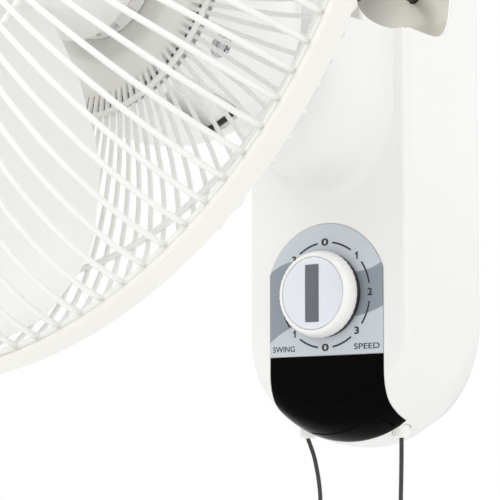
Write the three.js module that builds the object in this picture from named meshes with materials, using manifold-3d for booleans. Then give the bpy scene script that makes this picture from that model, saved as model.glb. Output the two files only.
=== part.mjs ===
// Wall fan, 16 inch, with two pull cords and a rotary speed dial.
// Millimetres. X to the right seen from the front, -Y out from the wall, +Z up.
// The origin is the middle of the wall bracket's rear face.
import * as THREE from 'three';
import { mergeVertices } from 'three/addons/utils/BufferGeometryUtils.js';
import Module from 'manifold-3d';

const wasm = await Module();
wasm.setup();

// ---------------------------------------------------------------- driving dimensions

const GAP = 0.3;                  // air left between two pieces that touch

// Base housing
const BASE_WIDTH = 112;
const BASE_DEPTH = 84;            // wall to the flat front face
const BASE_TOP = 150;
const BASE_BOTTOM = -148.5;       // lowest point of the underside
const BOTTOM_RISE = 40;           // height of the rounded lower end there
const KEEL_DEPTH = 48;            // depth over which the underside curves down from the front face
const FRONT_LIFT = 23;            // the front face ends this much higher
const FRONT_RISE = 49.5;
const REAR_LIFT = 9;              // the underside climbs again towards the wall
const REAR_RISE = 68;
const TOP_CORNER = 15;
const WALL = 3;
const EDGE_ROUND = 4;             // how far the front edge is drawn in
const EDGE_DEPTH = 6;             // depth over which the front edge rounds off
const COLUMN_DEPTH = 31;          // the part of the housing behind the saddle
const SADDLE_FLOOR = 91;
const SADDLE_RISE = 70;

// Arm that carries the fan head
const ARM_HALF_WIDTH = 45;
const ARM_BOTTOM = 4;
const ARM_TOP = 138;
const ARM_REACH = 58;             // forward of the flat front face
const ARM_CORNER = 16;
const CHIN_FLARE = 13;            // fillet between the arm's underside and the front face
const SIDE_FLARE = 3;             // the same at the arm's sides
const HOOD_LENGTH = 20;           // the arm's front end, above the saddle

// Tilt hinge between the arm's two cheeks
const HINGE_BACK = 10;            // hinge axis behind the arm's front end
const HINGE_Z = 103;
const HINGE_PIN_R = 4;
const KNUCKLE_R = 12;
const KNUCKLE_WIDTH = 26;
const HEAD_RISE = 8;              // degrees that the head looks up at rest

// Head, measured from the hinge axis along the head's own axes
const AXIS_DROP = 41.6;           // motor axis below the hinge axis
const YAW_REACH = 60;
const YAW_PIN_R = 5;
const EAR_HALF_GAP = 13.3;
const EAR_THICKNESS = 5;
const EAR_R = 12;
const COVER_START = 46;
const SHIELD_FACE = 137;
const COVER_R = 68;
const COVER_REAR_R = 50;
const COVER_OPENING_R = 34;
const COVER_WALL = 2.5;
const STATOR_R = 42;
const STATOR_BORE = 24.6;
const ROTOR_R = 24;
const SHAFT_R = 4;
const BOSS_R = 14;
const BOSS_LENGTH = 12;

// Guard and blades
const RIM_REACH = 222.7;          // hinge axis to the rim's middle plane
const GUARD_R = 215;
const FRONT_DEPTH = 75;
const WIRE_R = 1.5;
const RIM_WIRE_R = 2.2;
const GUARD_WIRES = 24;
const BAND_WIDTH = 13;
const BAND_THICKNESS = 2.6;
const BADGE_R = 46;
const BLADE_R = GUARD_R - 21;
const BLADE_COUNT = 3;
const BLADE_START = 15;           // degrees from +X to the first blade at rest, upward
const HUB_R = 36;
const BLADE_SETBACK = 7;          // blades' middle plane behind the hub's front
const HUB_LENGTH = 62;

// Control dial
const DIAL_Z = -60;
const LABEL_HALF_WIDTH = 39.5;
const LABEL_R = 41.8;
const LABEL_DROP = 35.2;
const LABEL_THICKNESS = 0.8;
const KNOB_R = 26;
const KNOB_FRONT_R = 23.5;
const KNOB_HEIGHT = 13;
const CAP_R = 21;
const POINTER_WIDTH = 9;
const POINTER_LENGTH = 33;
const SPINDLE_R = 3;

// Dark trim under the dial
const TRIM_THICKNESS = 1.2;
const TRIM_REACH_BACK = 24;

// Pull cords
const CORD_X = 33;
const CORD_BACK = 29.6;           // cords behind the flat front face
const CORD_D = 2.6;
const CORD_EXIT_Z = -139;
const PULL_TOP_Z = -262;
const PULL_LENGTH = 24;
const BUSH_R = 5;
const BUSH_HEIGHT = 15;

// Wall side
const PLATE_THICKNESS = 2.6;
const BRACKET_THICKNESS = 1.6;
const BRACKET_HALF_WIDTH = 33;
const BRACKET_HALF_HEIGHT = 60;

// Positions that follow from the dimensions above
const FRONT_Y = -BASE_DEPTH;
const ARM_FRONT_Y = FRONT_Y - ARM_REACH;
const HINGE_Y = ARM_FRONT_Y + HINGE_BACK;
const SADDLE_REAR_Y = -COLUMN_DEPTH;
const SADDLE_FRONT_Y = ARM_FRONT_Y + HOOD_LENGTH;
const INNER_FRONT_Y = FRONT_Y + WALL;
const CORD_Y = FRONT_Y + CORD_BACK;
const REAR_RIM_Y = -1;
const PLATE_REAR_Y = -BRACKET_THICKNESS - GAP;
const PLATE_FRONT_Y = PLATE_REAR_Y - PLATE_THICKNESS;

// ---------------------------------------------------------------- materials

function finish(color, roughness, metalness = 0) {
  return new THREE.MeshStandardMaterial({ color, roughness, metalness });
}

const whitePlastic = finish(0xf4f4f1, 0.25);
const creamPlastic = finish(0xefece2, 0.35);
const whiteWire = finish(0xf2f1ec, 0.35);
const darkTrim = finish(0x0b0b0c, 0.08);
const labelGrey = finish(0xd2d8de, 0.5);
const capSilver = finish(0xdedfe9, 0.3, 0.2);
const pointerGrey = finish(0x696e78, 0.5);
const steel = finish(0xb4b6b8, 0.3, 0.9);
const castAlloy = finish(0x9fa1a3, 0.45, 0.8);
const coreSteel = finish(0x5b5c60, 0.5, 0.7);
const copper = finish(0xa8562a, 0.4, 0.8);
const brass = finish(0xb8964a, 0.35, 0.9);
const blackPlastic = finish(0x1b1b1d, 0.5);
const brownRubber = finish(0x4a3526, 0.7);
const braid = finish(0x141416, 0.9);

// ---------------------------------------------------------------- geometry helpers

function solidOf(geometry) {
  const bare = geometry.clone();
  for (const name of Object.keys(bare.attributes)) {
    if (name !== 'position') bare.deleteAttribute(name);
  }
  const merged = mergeVertices(bare, 1e-4);
  return new wasm.Manifold(new wasm.Mesh({
    numProp: 3,
    vertProperties: new Float32Array(merged.attributes.position.array),
    triVerts: new Uint32Array(merged.index.array),
  }));
}

function geometryOf(solid) {
  const mesh = solid.getMesh();
  const geometry = new THREE.BufferGeometry();
  geometry.setAttribute('position', new THREE.BufferAttribute(new Float32Array(mesh.vertProperties), 3));
  geometry.setIndex(new THREE.BufferAttribute(new Uint32Array(mesh.triVerts), 1));
  return geometry;
}

function join(...geometries) {
  return geometryOf(geometries.map(solidOf).reduce((sum, next) => sum.add(next)));
}

function cut(geometry, ...tools) {
  return geometryOf(tools.map(solidOf).reduce((rest, tool) => rest.subtract(tool), solidOf(geometry)));
}

function common(first, second) {
  return geometryOf(solidOf(first).intersect(solidOf(second)));
}

function box(x0, x1, y0, y1, z0, z1) {
  const geometry = new THREE.BoxGeometry(x1 - x0, y1 - y0, z1 - z0);
  return geometry.translate((x0 + x1) / 2, (y0 + y1) / 2, (z0 + z1) / 2);
}

function rodX(radius, x0, x1, y, z, sides = 20) {
  const geometry = new THREE.CylinderGeometry(radius, radius, x1 - x0, sides);
  return geometry.rotateZ(Math.PI / 2).translate((x0 + x1) / 2, y, z);
}

function rodY(radius, y0, y1, x, z, sides = 20) {
  const geometry = new THREE.CylinderGeometry(radius, radius, y1 - y0, sides);
  return geometry.translate(x, (y0 + y1) / 2, z);
}

function rodZ(radius, z0, z1, x, y, sides = 20) {
  const geometry = new THREE.CylinderGeometry(radius, radius, z1 - z0, sides);
  return geometry.rotateX(Math.PI / 2).translate(x, y, (z0 + z1) / 2);
}

function shapeOf(points) {
  return new THREE.Shape(points.map(([u, v]) => new THREE.Vector2(u, v)));
}

function extruded(points, depth) {
  return new THREE.ExtrudeGeometry(shapeOf(points), { depth, bevelEnabled: false });
}

// Outline points are [y, z], pushed along X.
function prismX(points, x0, x1) {
  const turn = new THREE.Matrix4().makeBasis(
    new THREE.Vector3(0, 1, 0), new THREE.Vector3(0, 0, 1), new THREE.Vector3(1, 0, 0));
  return extruded(points, x1 - x0).applyMatrix4(turn).translate(x0, 0, 0);
}

// Outline points are [x, z], pushed along Y.
function prismY(points, y0, y1) {
  return extruded(points, y1 - y0).rotateX(Math.PI / 2).translate(0, y1, 0);
}

// Profile points are [radius, height], turned about the Y axis.
function turned(profile, sides = 40) {
  const points = profile.map(([radius, height]) => new THREE.Vector2(radius, height));
  const geometry = new THREE.LatheGeometry(points, sides);
  return outward(geometry);
}

function signedVolume(geometry) {
  const position = geometry.attributes.position;
  const index = geometry.index;
  const [a, b, c] = [new THREE.Vector3(), new THREE.Vector3(), new THREE.Vector3()];
  let volume = 0;
  for (let i = 0; i < index.count; i += 3) {
    a.fromBufferAttribute(position, index.getX(i));
    b.fromBufferAttribute(position, index.getX(i + 1));
    c.fromBufferAttribute(position, index.getX(i + 2));
    volume += a.dot(b.cross(c)) / 6;
  }
  return volume;
}

// Turns the faces outward where a closed surface was made inside out.
function outward(geometry) {
  if (signedVolume(geometry) < 0) {
    const index = geometry.index.array;
    for (let i = 0; i < index.length; i += 3) {
      [index[i], index[i + 1]] = [index[i + 1], index[i]];
    }
  }
  return geometry;
}

// A closed skin through sections that all have the same number of points.
function loft(sections) {
  const count = sections[0].length;
  const vertices = sections.flat(2);
  const faces = [];
  for (let s = 0; s + 1 < sections.length; s++) {
    for (let i = 0; i < count; i++) {
      const a = s * count + i;
      const b = s * count + (i + 1) % count;
      faces.push(a, b, b + count, a, b + count, a + count);
    }
  }
  const last = (sections.length - 1) * count;
  const ends = THREE.ShapeUtils.triangulateShape(
    sections[0].map(([x, y, z], i) => new THREE.Vector2(...flatPoint(sections, i))), []);
  for (const [a, b, c] of ends) {
    faces.push(b, a, c, last + a, last + b, last + c);
  }
  const geometry = new THREE.BufferGeometry();
  geometry.setAttribute('position', new THREE.Float32BufferAttribute(vertices, 3));
  geometry.setIndex(faces);
  return outward(geometry);
}

// Drops the axis that the sections are stacked along.
function flatPoint(sections, i) {
  const [x, y, z] = sections[0][i];
  return sections[0].every((point) => point[1] === y) ? [x, z] : [x, y];
}

const wireSection = (radius) => shapeOf([[radius, 0], [-radius / 2, radius], [-radius / 2, -radius]]);

function wireAlong(points, radius, steps) {
  const path = new THREE.CatmullRomCurve3(points.map((point) => new THREE.Vector3(...point)), false, 'centripetal');
  return new THREE.ExtrudeGeometry(wireSection(radius), { steps, extrudePath: path, bevelEnabled: false });
}

function ringY(radius, wireRadius, y, sides = GUARD_WIRES) {
  return new THREE.TorusGeometry(radius, wireRadius, 3, sides).rotateX(Math.PI / 2).translate(0, y, 0);
}

function aroundY(geometry, count, start = 0) {
  return Array.from({ length: count }, (_, i) => geometry.clone().rotateY(start + (i * 2 * Math.PI) / count));
}

const FINE = 28;                  // sides of the larger turned pieces
const COARSE = 20;                // sides of the smaller ones

const fan = new THREE.Group();

function part(parent, name, geometry, material) {
  const mesh = new THREE.Mesh(geometry, material);
  mesh.name = name;
  parent.add(mesh);
  return mesh;
}

// ---------------------------------------------------------------- housing shape

const BOTTOM_STEPS = 14;
const CORNER_STEPS = 3;

// A closed outline, round at the bottom and with round top corners, as [x, z].
function outline(halfWidth, bottom, rise, top, corner) {
  const points = [];
  for (let i = 0; i <= BOTTOM_STEPS; i++) {
    const angle = Math.PI * (1 + i / BOTTOM_STEPS);
    points.push([halfWidth * Math.cos(angle), bottom + rise * (1 + Math.sin(angle))]);
  }
  for (const side of [0, 1]) {
    const middle = (halfWidth - corner) * (1 - 2 * side);
    for (let i = 0; i <= CORNER_STEPS; i++) {
      const angle = (Math.PI / 2) * (side + i / CORNER_STEPS);
      points.push([middle + corner * Math.cos(angle), top - corner + corner * Math.sin(angle)]);
    }
  }
  return points;
}

const atDepth = (points, y) => points.map(([x, z]) => [x, y, z]);

// Share of a quarter round that is left at a distance from its start.
function filletShare(distance, reach) {
  return 1 - Math.sqrt(1 - Math.max(0, 1 - distance / reach) ** 2);
}

// The column's outline at a depth behind the front face, drawn in all round by a margin.
function columnOutline(depth, drawnIn) {
  const near = filletShare(depth, KEEL_DEPTH);
  const far = Math.max(0, (depth - KEEL_DEPTH) / (BASE_DEPTH - KEEL_DEPTH));
  const bottom = BASE_BOTTOM + FRONT_LIFT * near + REAR_LIFT * far;
  const rise = BOTTOM_RISE + (FRONT_RISE - BOTTOM_RISE) * near + (REAR_RISE - BOTTOM_RISE) * far;
  return outline(BASE_WIDTH / 2 - drawnIn, bottom + drawnIn, rise - drawnIn, BASE_TOP - drawnIn, TOP_CORNER);
}

// The tall box from the wall to the flat front face, with its front edge and underside rounded.
function columnBlock(inset) {
  const edge = [0, 1 / 3, 2 / 3, 1].map((share) => EDGE_DEPTH * (1 - Math.cos((Math.PI / 2) * share)));
  const keel = [0.25, 0.4, 0.58, 0.78, 1].map((share) => KEEL_DEPTH * share);
  const sections = [...edge, ...keel].map((depth) => atDepth(
    columnOutline(depth, inset + EDGE_ROUND * filletShare(depth, EDGE_DEPTH)), FRONT_Y + inset + depth));
  const rearY = REAR_RIM_Y + (inset > 0 ? WALL : 0);
  sections.push(atDepth(columnOutline(REAR_RIM_Y - FRONT_Y, inset), rearY));
  return loft(sections);
}

// The arm: upright sections that shrink and rise towards its front end, with a fillet at its root.
function armBlock(inset) {
  const fillet = [0.2, 0.5].map((share) => Math.asin((share * CHIN_FLARE) / ARM_REACH));
  const steps = 6;
  const turns = [0, ...fillet];
  for (let i = 1; i <= steps; i++) {
    const t = (Math.PI / 2) * (i / steps);
    turns.push(t);
  }
  const sections = turns.map((t) => {
    const reach = ARM_REACH * Math.sin(t);
    const rise = 65 * (1 - Math.cos(t)) ** 1.15;
    const flare = filletShare(reach, CHIN_FLARE);
    const halfWidth = ARM_HALF_WIDTH * (0.62 + 0.38 * Math.cos(t) ** 0.55) + SIDE_FLARE * flare;
    const bottom = ARM_BOTTOM + rise - CHIN_FLARE * flare;
    const drop = 22 * (1 - Math.cos(t)) ** 3;
    const points = outline(halfWidth - inset, bottom + inset, halfWidth + CHIN_FLARE * flare - inset,
      ARM_TOP - drop - inset, ARM_CORNER - inset);
    return atDepth(points, FRONT_Y - reach + inset);
  });
  const root = sections[0].map(([x, y, z]) => [x, FRONT_Y + EDGE_DEPTH, z]);
  return loft([root, ...sections]);
}

// The saddle between the arm's front end and the column: a through cut with a round-cornered floor.
function saddleCutter(grow) {
  const middle = (SADDLE_REAR_Y + SADDLE_FRONT_Y) / 2;
  const half = (SADDLE_REAR_Y - SADDLE_FRONT_Y) / 2 + grow;
  const power = 5;
  const steps = 12;
  const points = [];
  for (let i = 0; i <= steps; i++) {
    const angle = Math.PI * (1 + i / steps);
    const across = Math.sign(Math.cos(angle)) * Math.abs(Math.cos(angle)) ** (2 / power);
    const down = Math.abs(Math.sin(angle)) ** (2 / power);
    points.push([middle + half * across, SADDLE_FLOOR - grow + SADDLE_RISE * (1 - down)]);
  }
  return prismX(points, -BASE_WIDTH, BASE_WIDTH);
}

// Everything inside the housing's skin, or inside a skin that is drawn in by inset.
function housingBlock(inset) {
  return cut(join(columnBlock(inset), armBlock(inset)), saddleCutter(inset));
}

// ---------------------------------------------------------------- base housing and trim

// The trim covers this part of the housing's skin, as [y, z].
const TRIM_TOP = DIAL_Z - LABEL_DROP - GAP;
const trimRegion = [
  [FRONT_Y - 8, TRIM_TOP], [FRONT_Y + TRIM_REACH_BACK, TRIM_TOP],
  [FRONT_Y + TRIM_REACH_BACK, BASE_BOTTOM - 8], [FRONT_Y - 8, BASE_BOTTOM - 8],
];

const labelOutline = (margin) => {
  const halfWidth = LABEL_HALF_WIDTH + margin;
  const radius = LABEL_R + margin;
  const start = Math.acos(halfWidth / radius);
  const points = [[halfWidth, DIAL_Z - LABEL_DROP - margin]];
  for (let i = 0; i <= 16; i++) {
    const angle = start + (Math.PI - 2 * start) * (i / 16);
    points.push([radius * Math.cos(angle), DIAL_Z + radius * Math.sin(angle)]);
  }
  points.push([-halfWidth, DIAL_Z - LABEL_DROP - margin]);
  return points;
};

const screwPlaces = [[0, 118], [0, -124]];
const SCREW_R = 1.9;
const BOSS_WALL_R = 5;

function baseHousing() {
  const outer = housingBlock(0);
  const hollow = housingBlock(WALL);
  const cheeks = box(-BASE_WIDTH, BASE_WIDTH, ARM_FRONT_Y - WALL, SADDLE_FRONT_Y + WALL,
    SADDLE_FLOOR - 6, ARM_TOP + WALL);
  const cavity = cut(hollow, cheeks);
  const shell = cut(outer, cavity);
  const bosses = screwPlaces.map(([x, z]) => {
    const deep = z > SADDLE_FLOOR ? SADDLE_REAR_Y + WALL : INNER_FRONT_Y;
    return rodY(BOSS_WALL_R, deep - 1, PLATE_FRONT_Y - GAP, x, z, 12);
  });
  const neckSlot = box(-KNUCKLE_WIDTH / 2 - 1.5, KNUCKLE_WIDTH / 2 + 1.5, ARM_FRONT_Y - 10,
    SADDLE_FRONT_Y + 6, HINGE_Z - KNUCKLE_R - 3, ARM_TOP + 10);
  const pinHole = rodX(HINGE_PIN_R + GAP, -BASE_WIDTH, BASE_WIDTH, HINGE_Y, HINGE_Z, 16);
  const pocketR = HINGE_PIN_R + 1.5;
  const pockets = [1, -1].map((side) => {
    const [a, b] = [side * (ARM_HALF_WIDTH - 12), side * (ARM_HALF_WIDTH + 10)];
    return rodX(pocketR, Math.min(a, b), Math.max(a, b), HINGE_Y, HINGE_Z, 16);
  });
  const trimPocket = cut(
    prismX(trimRegion, -LABEL_HALF_WIDTH - GAP, LABEL_HALF_WIDTH + GAP),
    housingBlock(TRIM_THICKNESS + GAP));
  const cordHoles = [CORD_X, -CORD_X].map((x) => rodZ(BUSH_R + GAP, BASE_BOTTOM - 5, BASE_BOTTOM + 40, x, CORD_Y, 16));
  const leadHoles = [
    rodY(LEAD_R + 2 * GAP, SADDLE_REAR_Y - WALL, SADDLE_REAR_Y + WALL + 2, LEAD_X, LEAD_END_Z, 12),
    rodY(LEAD_R + 2 * GAP, SADDLE_FRONT_Y - 6, SADDLE_FRONT_Y + 4, LEAD_X, LEAD_END_Z, 12),
  ];
  return cut(join(shell, ...bosses),
    ...screwPlaces.map(([x, z]) => rodY(SCREW_R + GAP, -18, 0, x, z, 10)),
    neckSlot, pinHole, ...pockets, trimPocket,
    prismY(labelOutline(GAP), FRONT_Y - 5, FRONT_Y + LABEL_THICKNESS / 2),
    rodY(SPINDLE_R + 1, FRONT_Y - 5, INNER_FRONT_Y + 5, 0, DIAL_Z, 16),
    ...cordHoles, ...leadHoles);
}

// The motor lead hangs in a short loop over the saddle, from the column to the right-hand cheek.
const LEAD_R = 3.5;
const LEAD_X = 30;
const LEAD_END_Z = 124;
const LEAD_LOW_Z = 106.5;

function motorLead() {
  const middle = (SADDLE_REAR_Y + SADDLE_FRONT_Y) / 2;
  const points = [
    [LEAD_X, SADDLE_FRONT_Y - 5, LEAD_END_Z],
    [LEAD_X, SADDLE_FRONT_Y + 6, LEAD_END_Z],
    [LEAD_X, SADDLE_FRONT_Y + 20, LEAD_END_Z - 6],
    [LEAD_X, middle - 8, LEAD_LOW_Z + LEAD_R],
    [LEAD_X, middle + 8, LEAD_LOW_Z + LEAD_R],
    [LEAD_X, SADDLE_REAR_Y - 20, LEAD_END_Z - 6],
    [LEAD_X, SADDLE_REAR_Y - 6, LEAD_END_Z],
    [LEAD_X, SADDLE_REAR_Y + 4, LEAD_END_Z],
  ];
  return tubeAlong(points, LEAD_R, 18);
}

function tubeAlong(points, radius, steps, sides = 6) {
  const ring = Array.from({ length: sides }, (_, i) => {
    const angle = (2 * Math.PI * i) / sides;
    return [radius * Math.cos(angle), radius * Math.sin(angle)];
  });
  const path = new THREE.CatmullRomCurve3(points.map((point) => new THREE.Vector3(...point)), false, 'centripetal');
  return new THREE.ExtrudeGeometry(shapeOf(ring), { steps, extrudePath: path, bevelEnabled: false });
}

function bottomTrim() {
  const skin = cut(housingBlock(0), housingBlock(TRIM_THICKNESS));
  const region = prismX(trimRegion, -LABEL_HALF_WIDTH, LABEL_HALF_WIDTH);
  const bushes = [CORD_X, -CORD_X].map((x) => rodZ(BUSH_R + GAP, BASE_BOTTOM - 5, BASE_BOTTOM + 40, x, CORD_Y, 16));
  return cut(common(skin, region), ...bushes);
}

// ---------------------------------------------------------------- wall side

const HOOK_Z = 30;
const HOOK_HALF_WIDTH = 8;
const HOOK_X = 20;

function wallBracket() {
  const [w, h] = [BRACKET_HALF_WIDTH, BRACKET_HALF_HEIGHT];
  const corner = 8;
  const plate = prismY([
    [w, -h + corner], [w, h - corner], [w - corner, h], [-w + corner, h],
    [-w, h - corner], [-w, -h + corner], [-w + corner, -h], [w - corner, -h],
  ], -BRACKET_THICKNESS, 0);
  const hooks = [HOOK_X, -HOOK_X].flatMap((x) => [
    box(x - HOOK_HALF_WIDTH, x + HOOK_HALF_WIDTH, PLATE_FRONT_Y - 3, -0.5, HOOK_Z, HOOK_Z + 2),
    box(x - HOOK_HALF_WIDTH, x + HOOK_HALF_WIDTH, PLATE_FRONT_Y - 3, PLATE_FRONT_Y - 1, HOOK_Z, HOOK_Z + 9),
  ]);
  const holes = [[22, 48], [-22, 48], [22, -48], [-22, -48]].map(([x, z]) => rodY(2.6, -5, 5, x, z, 12));
  return cut(join(plate, ...hooks), ...holes);
}

const GROMMET = { x: 0, z: -110, r: 6 };

function backPlate() {
  const inset = WALL + GAP;
  const plate = prismY(columnOutline(REAR_RIM_Y - FRONT_Y, inset), PLATE_FRONT_Y, PLATE_REAR_Y);
  const hookSlots = [HOOK_X, -HOOK_X].map((x) => box(x - HOOK_HALF_WIDTH - 1, x + HOOK_HALF_WIDTH + 1,
    PLATE_FRONT_Y - 5, 0, HOOK_Z - 1, HOOK_Z + 11));
  const screwHoles = screwPlaces.map(([x, z]) => rodY(SCREW_R + GAP, -10, 0, x, z, 10));
  return cut(plate, ...hookSlots, ...screwHoles, rodY(GROMMET.r + GAP, -10, 0, GROMMET.x, GROMMET.z, 16));
}

function plateScrew([x, z]) {
  return join(
    rodY(3.6, PLATE_REAR_Y + GAP / 2, -0.2, x, z, 12),
    rodY(SCREW_R, -14, PLATE_REAR_Y + GAP, x, z, 10));
}

function cableGrommet() {
  const [front, rear] = [PLATE_FRONT_Y - 2.2, PLATE_REAR_Y + 1.6];
  return turned([
    [3.4, front], [GROMMET.r + 3, front], [GROMMET.r + 3, PLATE_FRONT_Y - GAP], [GROMMET.r, PLATE_FRONT_Y - GAP],
    [GROMMET.r, PLATE_REAR_Y + GAP], [GROMMET.r + 2, PLATE_REAR_Y + GAP], [GROMMET.r + 2, rear], [3.4, rear],
    [3.4, front],
  ], 16).translate(GROMMET.x, 0, GROMMET.z);
}

// ---------------------------------------------------------------- dial, switches and cords

const KNOB_REAR_Y = FRONT_Y - LABEL_THICKNESS / 2 - 0.8;
const KNOB_FRONT_Y = KNOB_REAR_Y - KNOB_HEIGHT;
const CAP_THICKNESS = 1.2;
const SWITCH_REAR_Y = INNER_FRONT_Y + 15;
const SPINDLE_END_Y = KNOB_FRONT_Y + 4;

function knob() {
  const seat = KNOB_FRONT_Y + CAP_THICKNESS + GAP / 2;
  const body = turned([
    [0, KNOB_REAR_Y], [KNOB_R, KNOB_REAR_Y], [KNOB_FRONT_R + 0.5, KNOB_FRONT_Y + 2], [KNOB_FRONT_R - 1, KNOB_FRONT_Y],
    [CAP_R + GAP, KNOB_FRONT_Y], [CAP_R + GAP, seat], [0, seat],
  ], FINE).translate(0, 0, DIAL_Z);
  return cut(body, rodY(SPINDLE_R + GAP, SPINDLE_END_Y - GAP, KNOB_REAR_Y + 5, 0, DIAL_Z, 16));
}

function knobCap() {
  const disc = rodY(CAP_R, KNOB_FRONT_Y, KNOB_FRONT_Y + CAP_THICKNESS, 0, DIAL_Z, FINE);
  return cut(disc, pointerBlock(GAP, KNOB_FRONT_Y - 1, KNOB_FRONT_Y + 0.6 + GAP / 2));
}

function pointerBlock(margin, y0, y1) {
  return box(-POINTER_WIDTH / 2 - margin, POINTER_WIDTH / 2 + margin, y0, y1,
    DIAL_Z - POINTER_LENGTH / 2 - margin, DIAL_Z + POINTER_LENGTH / 2 + margin);
}

function rotarySwitch() {
  const can = rodY(16, INNER_FRONT_Y + GAP, SWITCH_REAR_Y, 0, DIAL_Z, 24);
  const lugs = box(-21, 21, INNER_FRONT_Y + GAP, INNER_FRONT_Y + 2.5, DIAL_Z - 5, DIAL_Z + 5);
  const terminals = [-9, -3, 3, 9].map((x) => box(x - 0.4, x + 0.4, SWITCH_REAR_Y - 1, SWITCH_REAR_Y + 6,
    DIAL_Z + 4, DIAL_Z + 9));
  return cut(join(can, lugs, ...terminals),
    rodY(SPINDLE_R + GAP, INNER_FRONT_Y - 2, SWITCH_REAR_Y - 3, 0, DIAL_Z, 16));
}

const BEAD = { top: -92, height: 9, half: 4.4 };
const BEAD_BOTTOM = BEAD.top - BEAD.height;
const BUSH_TOP = CORD_EXIT_Z + BUSH_HEIGHT;

// Nylon bead and rod at the upper end of a cord.
function pullRod(x) {
  return join(
    box(x - BEAD.half, x + BEAD.half, CORD_Y - BEAD.half, CORD_Y + BEAD.half, BEAD_BOTTOM, BEAD.top),
    rodZ(CORD_D / 2 + 0.2, CORD_EXIT_Z + GAP, BEAD_BOTTOM + 1, x, CORD_Y, 10));
}

// The return spring as the plain sleeve that its turns fill.
function returnSpring(x) {
  return cut(rodZ(4.2, BUSH_TOP + GAP, BEAD_BOTTOM - GAP, x, CORD_Y, 12),
    rodZ(2.6, BUSH_TOP - 5, BEAD_BOTTOM + 5, x, CORD_Y, 12));
}

// Ferrule in the housing's underside that a cord runs through.
function cordBush(x) {
  const sleeve = rodZ(BUSH_R, CORD_EXIT_Z - 4, BUSH_TOP, x, CORD_Y, 16);
  return cut(sleeve, rodZ(CORD_D / 2 + 0.6, CORD_EXIT_Z - 10, BUSH_TOP + 5, x, CORD_Y, 12));
}

const speedRoute = [
  [CORD_X, CORD_Y, CORD_EXIT_Z], [CORD_X, CORD_Y, CORD_EXIT_Z - 10], [CORD_X - 0.3, CORD_Y, CORD_EXIT_Z - 25],
  [CORD_X - 0.9, CORD_Y, CORD_EXIT_Z - 45], [CORD_X - 1.4, CORD_Y, CORD_EXIT_Z - 70],
  [CORD_X - 1.6, CORD_Y, CORD_EXIT_Z - 95], [CORD_X - 1.7, CORD_Y, PULL_TOP_Z],
];
const swingRoute = [
  [-CORD_X, CORD_Y, CORD_EXIT_Z], [-CORD_X, CORD_Y, CORD_EXIT_Z - 4], [-CORD_X + 1.8, CORD_Y, CORD_EXIT_Z - 8.5],
  [-CORD_X + 4.4, CORD_Y, CORD_EXIT_Z - 15], [-CORD_X + 6.2, CORD_Y, CORD_EXIT_Z - 22],
  [-CORD_X + 7.8, CORD_Y, CORD_EXIT_Z - 30], [-CORD_X + 8.9, CORD_Y, CORD_EXIT_Z - 42],
  [-CORD_X + 9.4, CORD_Y, CORD_EXIT_Z - 75], [-CORD_X + 9.6, CORD_Y, PULL_TOP_Z],
];

function pullHandle([x, y]) {
  const profile = [
    [0, -PULL_LENGTH], [3.2, -PULL_LENGTH], [4.6, -PULL_LENGTH + 2.5], [4.4, -PULL_LENGTH * 0.6],
    [2.8, -PULL_LENGTH * 0.25], [2.2, -GAP], [0, -GAP],
  ];
  return turned(profile, 16).rotateX(Math.PI / 2).translate(x, y, PULL_TOP_Z);
}

// Lever that the speed cord's bead swings against the switch.
const LEVER = { pivotX: 6, z: -87, y0: CORD_Y - 8, y1: CORD_Y - 5.2, thickness: 3 };

function speedLever() {
  const arm = box(LEVER.pivotX - 4, CORD_X + 5, LEVER.y0, LEVER.y1, LEVER.z - LEVER.thickness, LEVER.z + LEVER.thickness);
  const hub = rodY(6, LEVER.y0, LEVER.y1, LEVER.pivotX, LEVER.z, 16);
  return cut(join(arm, hub), rodY(2.3, -100, 0, LEVER.pivotX, LEVER.z, 12));
}

// Post on the back plate that the lever turns on.
function leverPost() {
  return join(
    rodY(2, LEVER.y0 - 2, LEVER.y1 + GAP + 1, LEVER.pivotX, LEVER.z, 12),
    rodY(4, LEVER.y1 + GAP, PLATE_FRONT_Y - GAP, LEVER.pivotX, LEVER.z, 12));
}

function swingSwitch() {
  const body = box(-CORD_X - 9, -CORD_X + 9, CORD_Y - 7, CORD_Y + 7, BEAD.top + 6, BEAD.top + 28);
  const stem = rodZ(1.8, BEAD.top + GAP, BEAD.top + 7, -CORD_X, CORD_Y, 10);
  return join(body, stem);
}

// Arm of the back plate that carries the swing switch.
function swingSwitchCarrier() {
  return box(-CORD_X - 7, -CORD_X + 7, CORD_Y + 7 + GAP, PLATE_FRONT_Y - GAP, BEAD.top + 10, BEAD.top + 24);
}

const capacitorBox = () => box(-19, 19, INNER_FRONT_Y + GAP, INNER_FRONT_Y + 16, -34, -12);

function terminalBlock() {
  const body = box(-20, 20, PLATE_FRONT_Y - GAP - 13, PLATE_FRONT_Y - GAP, -26, -14);
  const screws = [-15, -5, 5, 15].map((x) => rodY(2, PLATE_FRONT_Y - GAP - 20, PLATE_FRONT_Y - GAP - 9, x, -20, 10));
  return cut(body, ...screws);
}

// ---------------------------------------------------------------- neck

function hingePin() {
  const end = ARM_HALF_WIDTH - 13;
  return join(
    rodX(HINGE_PIN_R, -end, end + 1, HINGE_Y, HINGE_Z, 16),
    rodX(HINGE_PIN_R + 1, end + 1, end + 4, HINGE_Y, HINGE_Z, 16));
}

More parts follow.
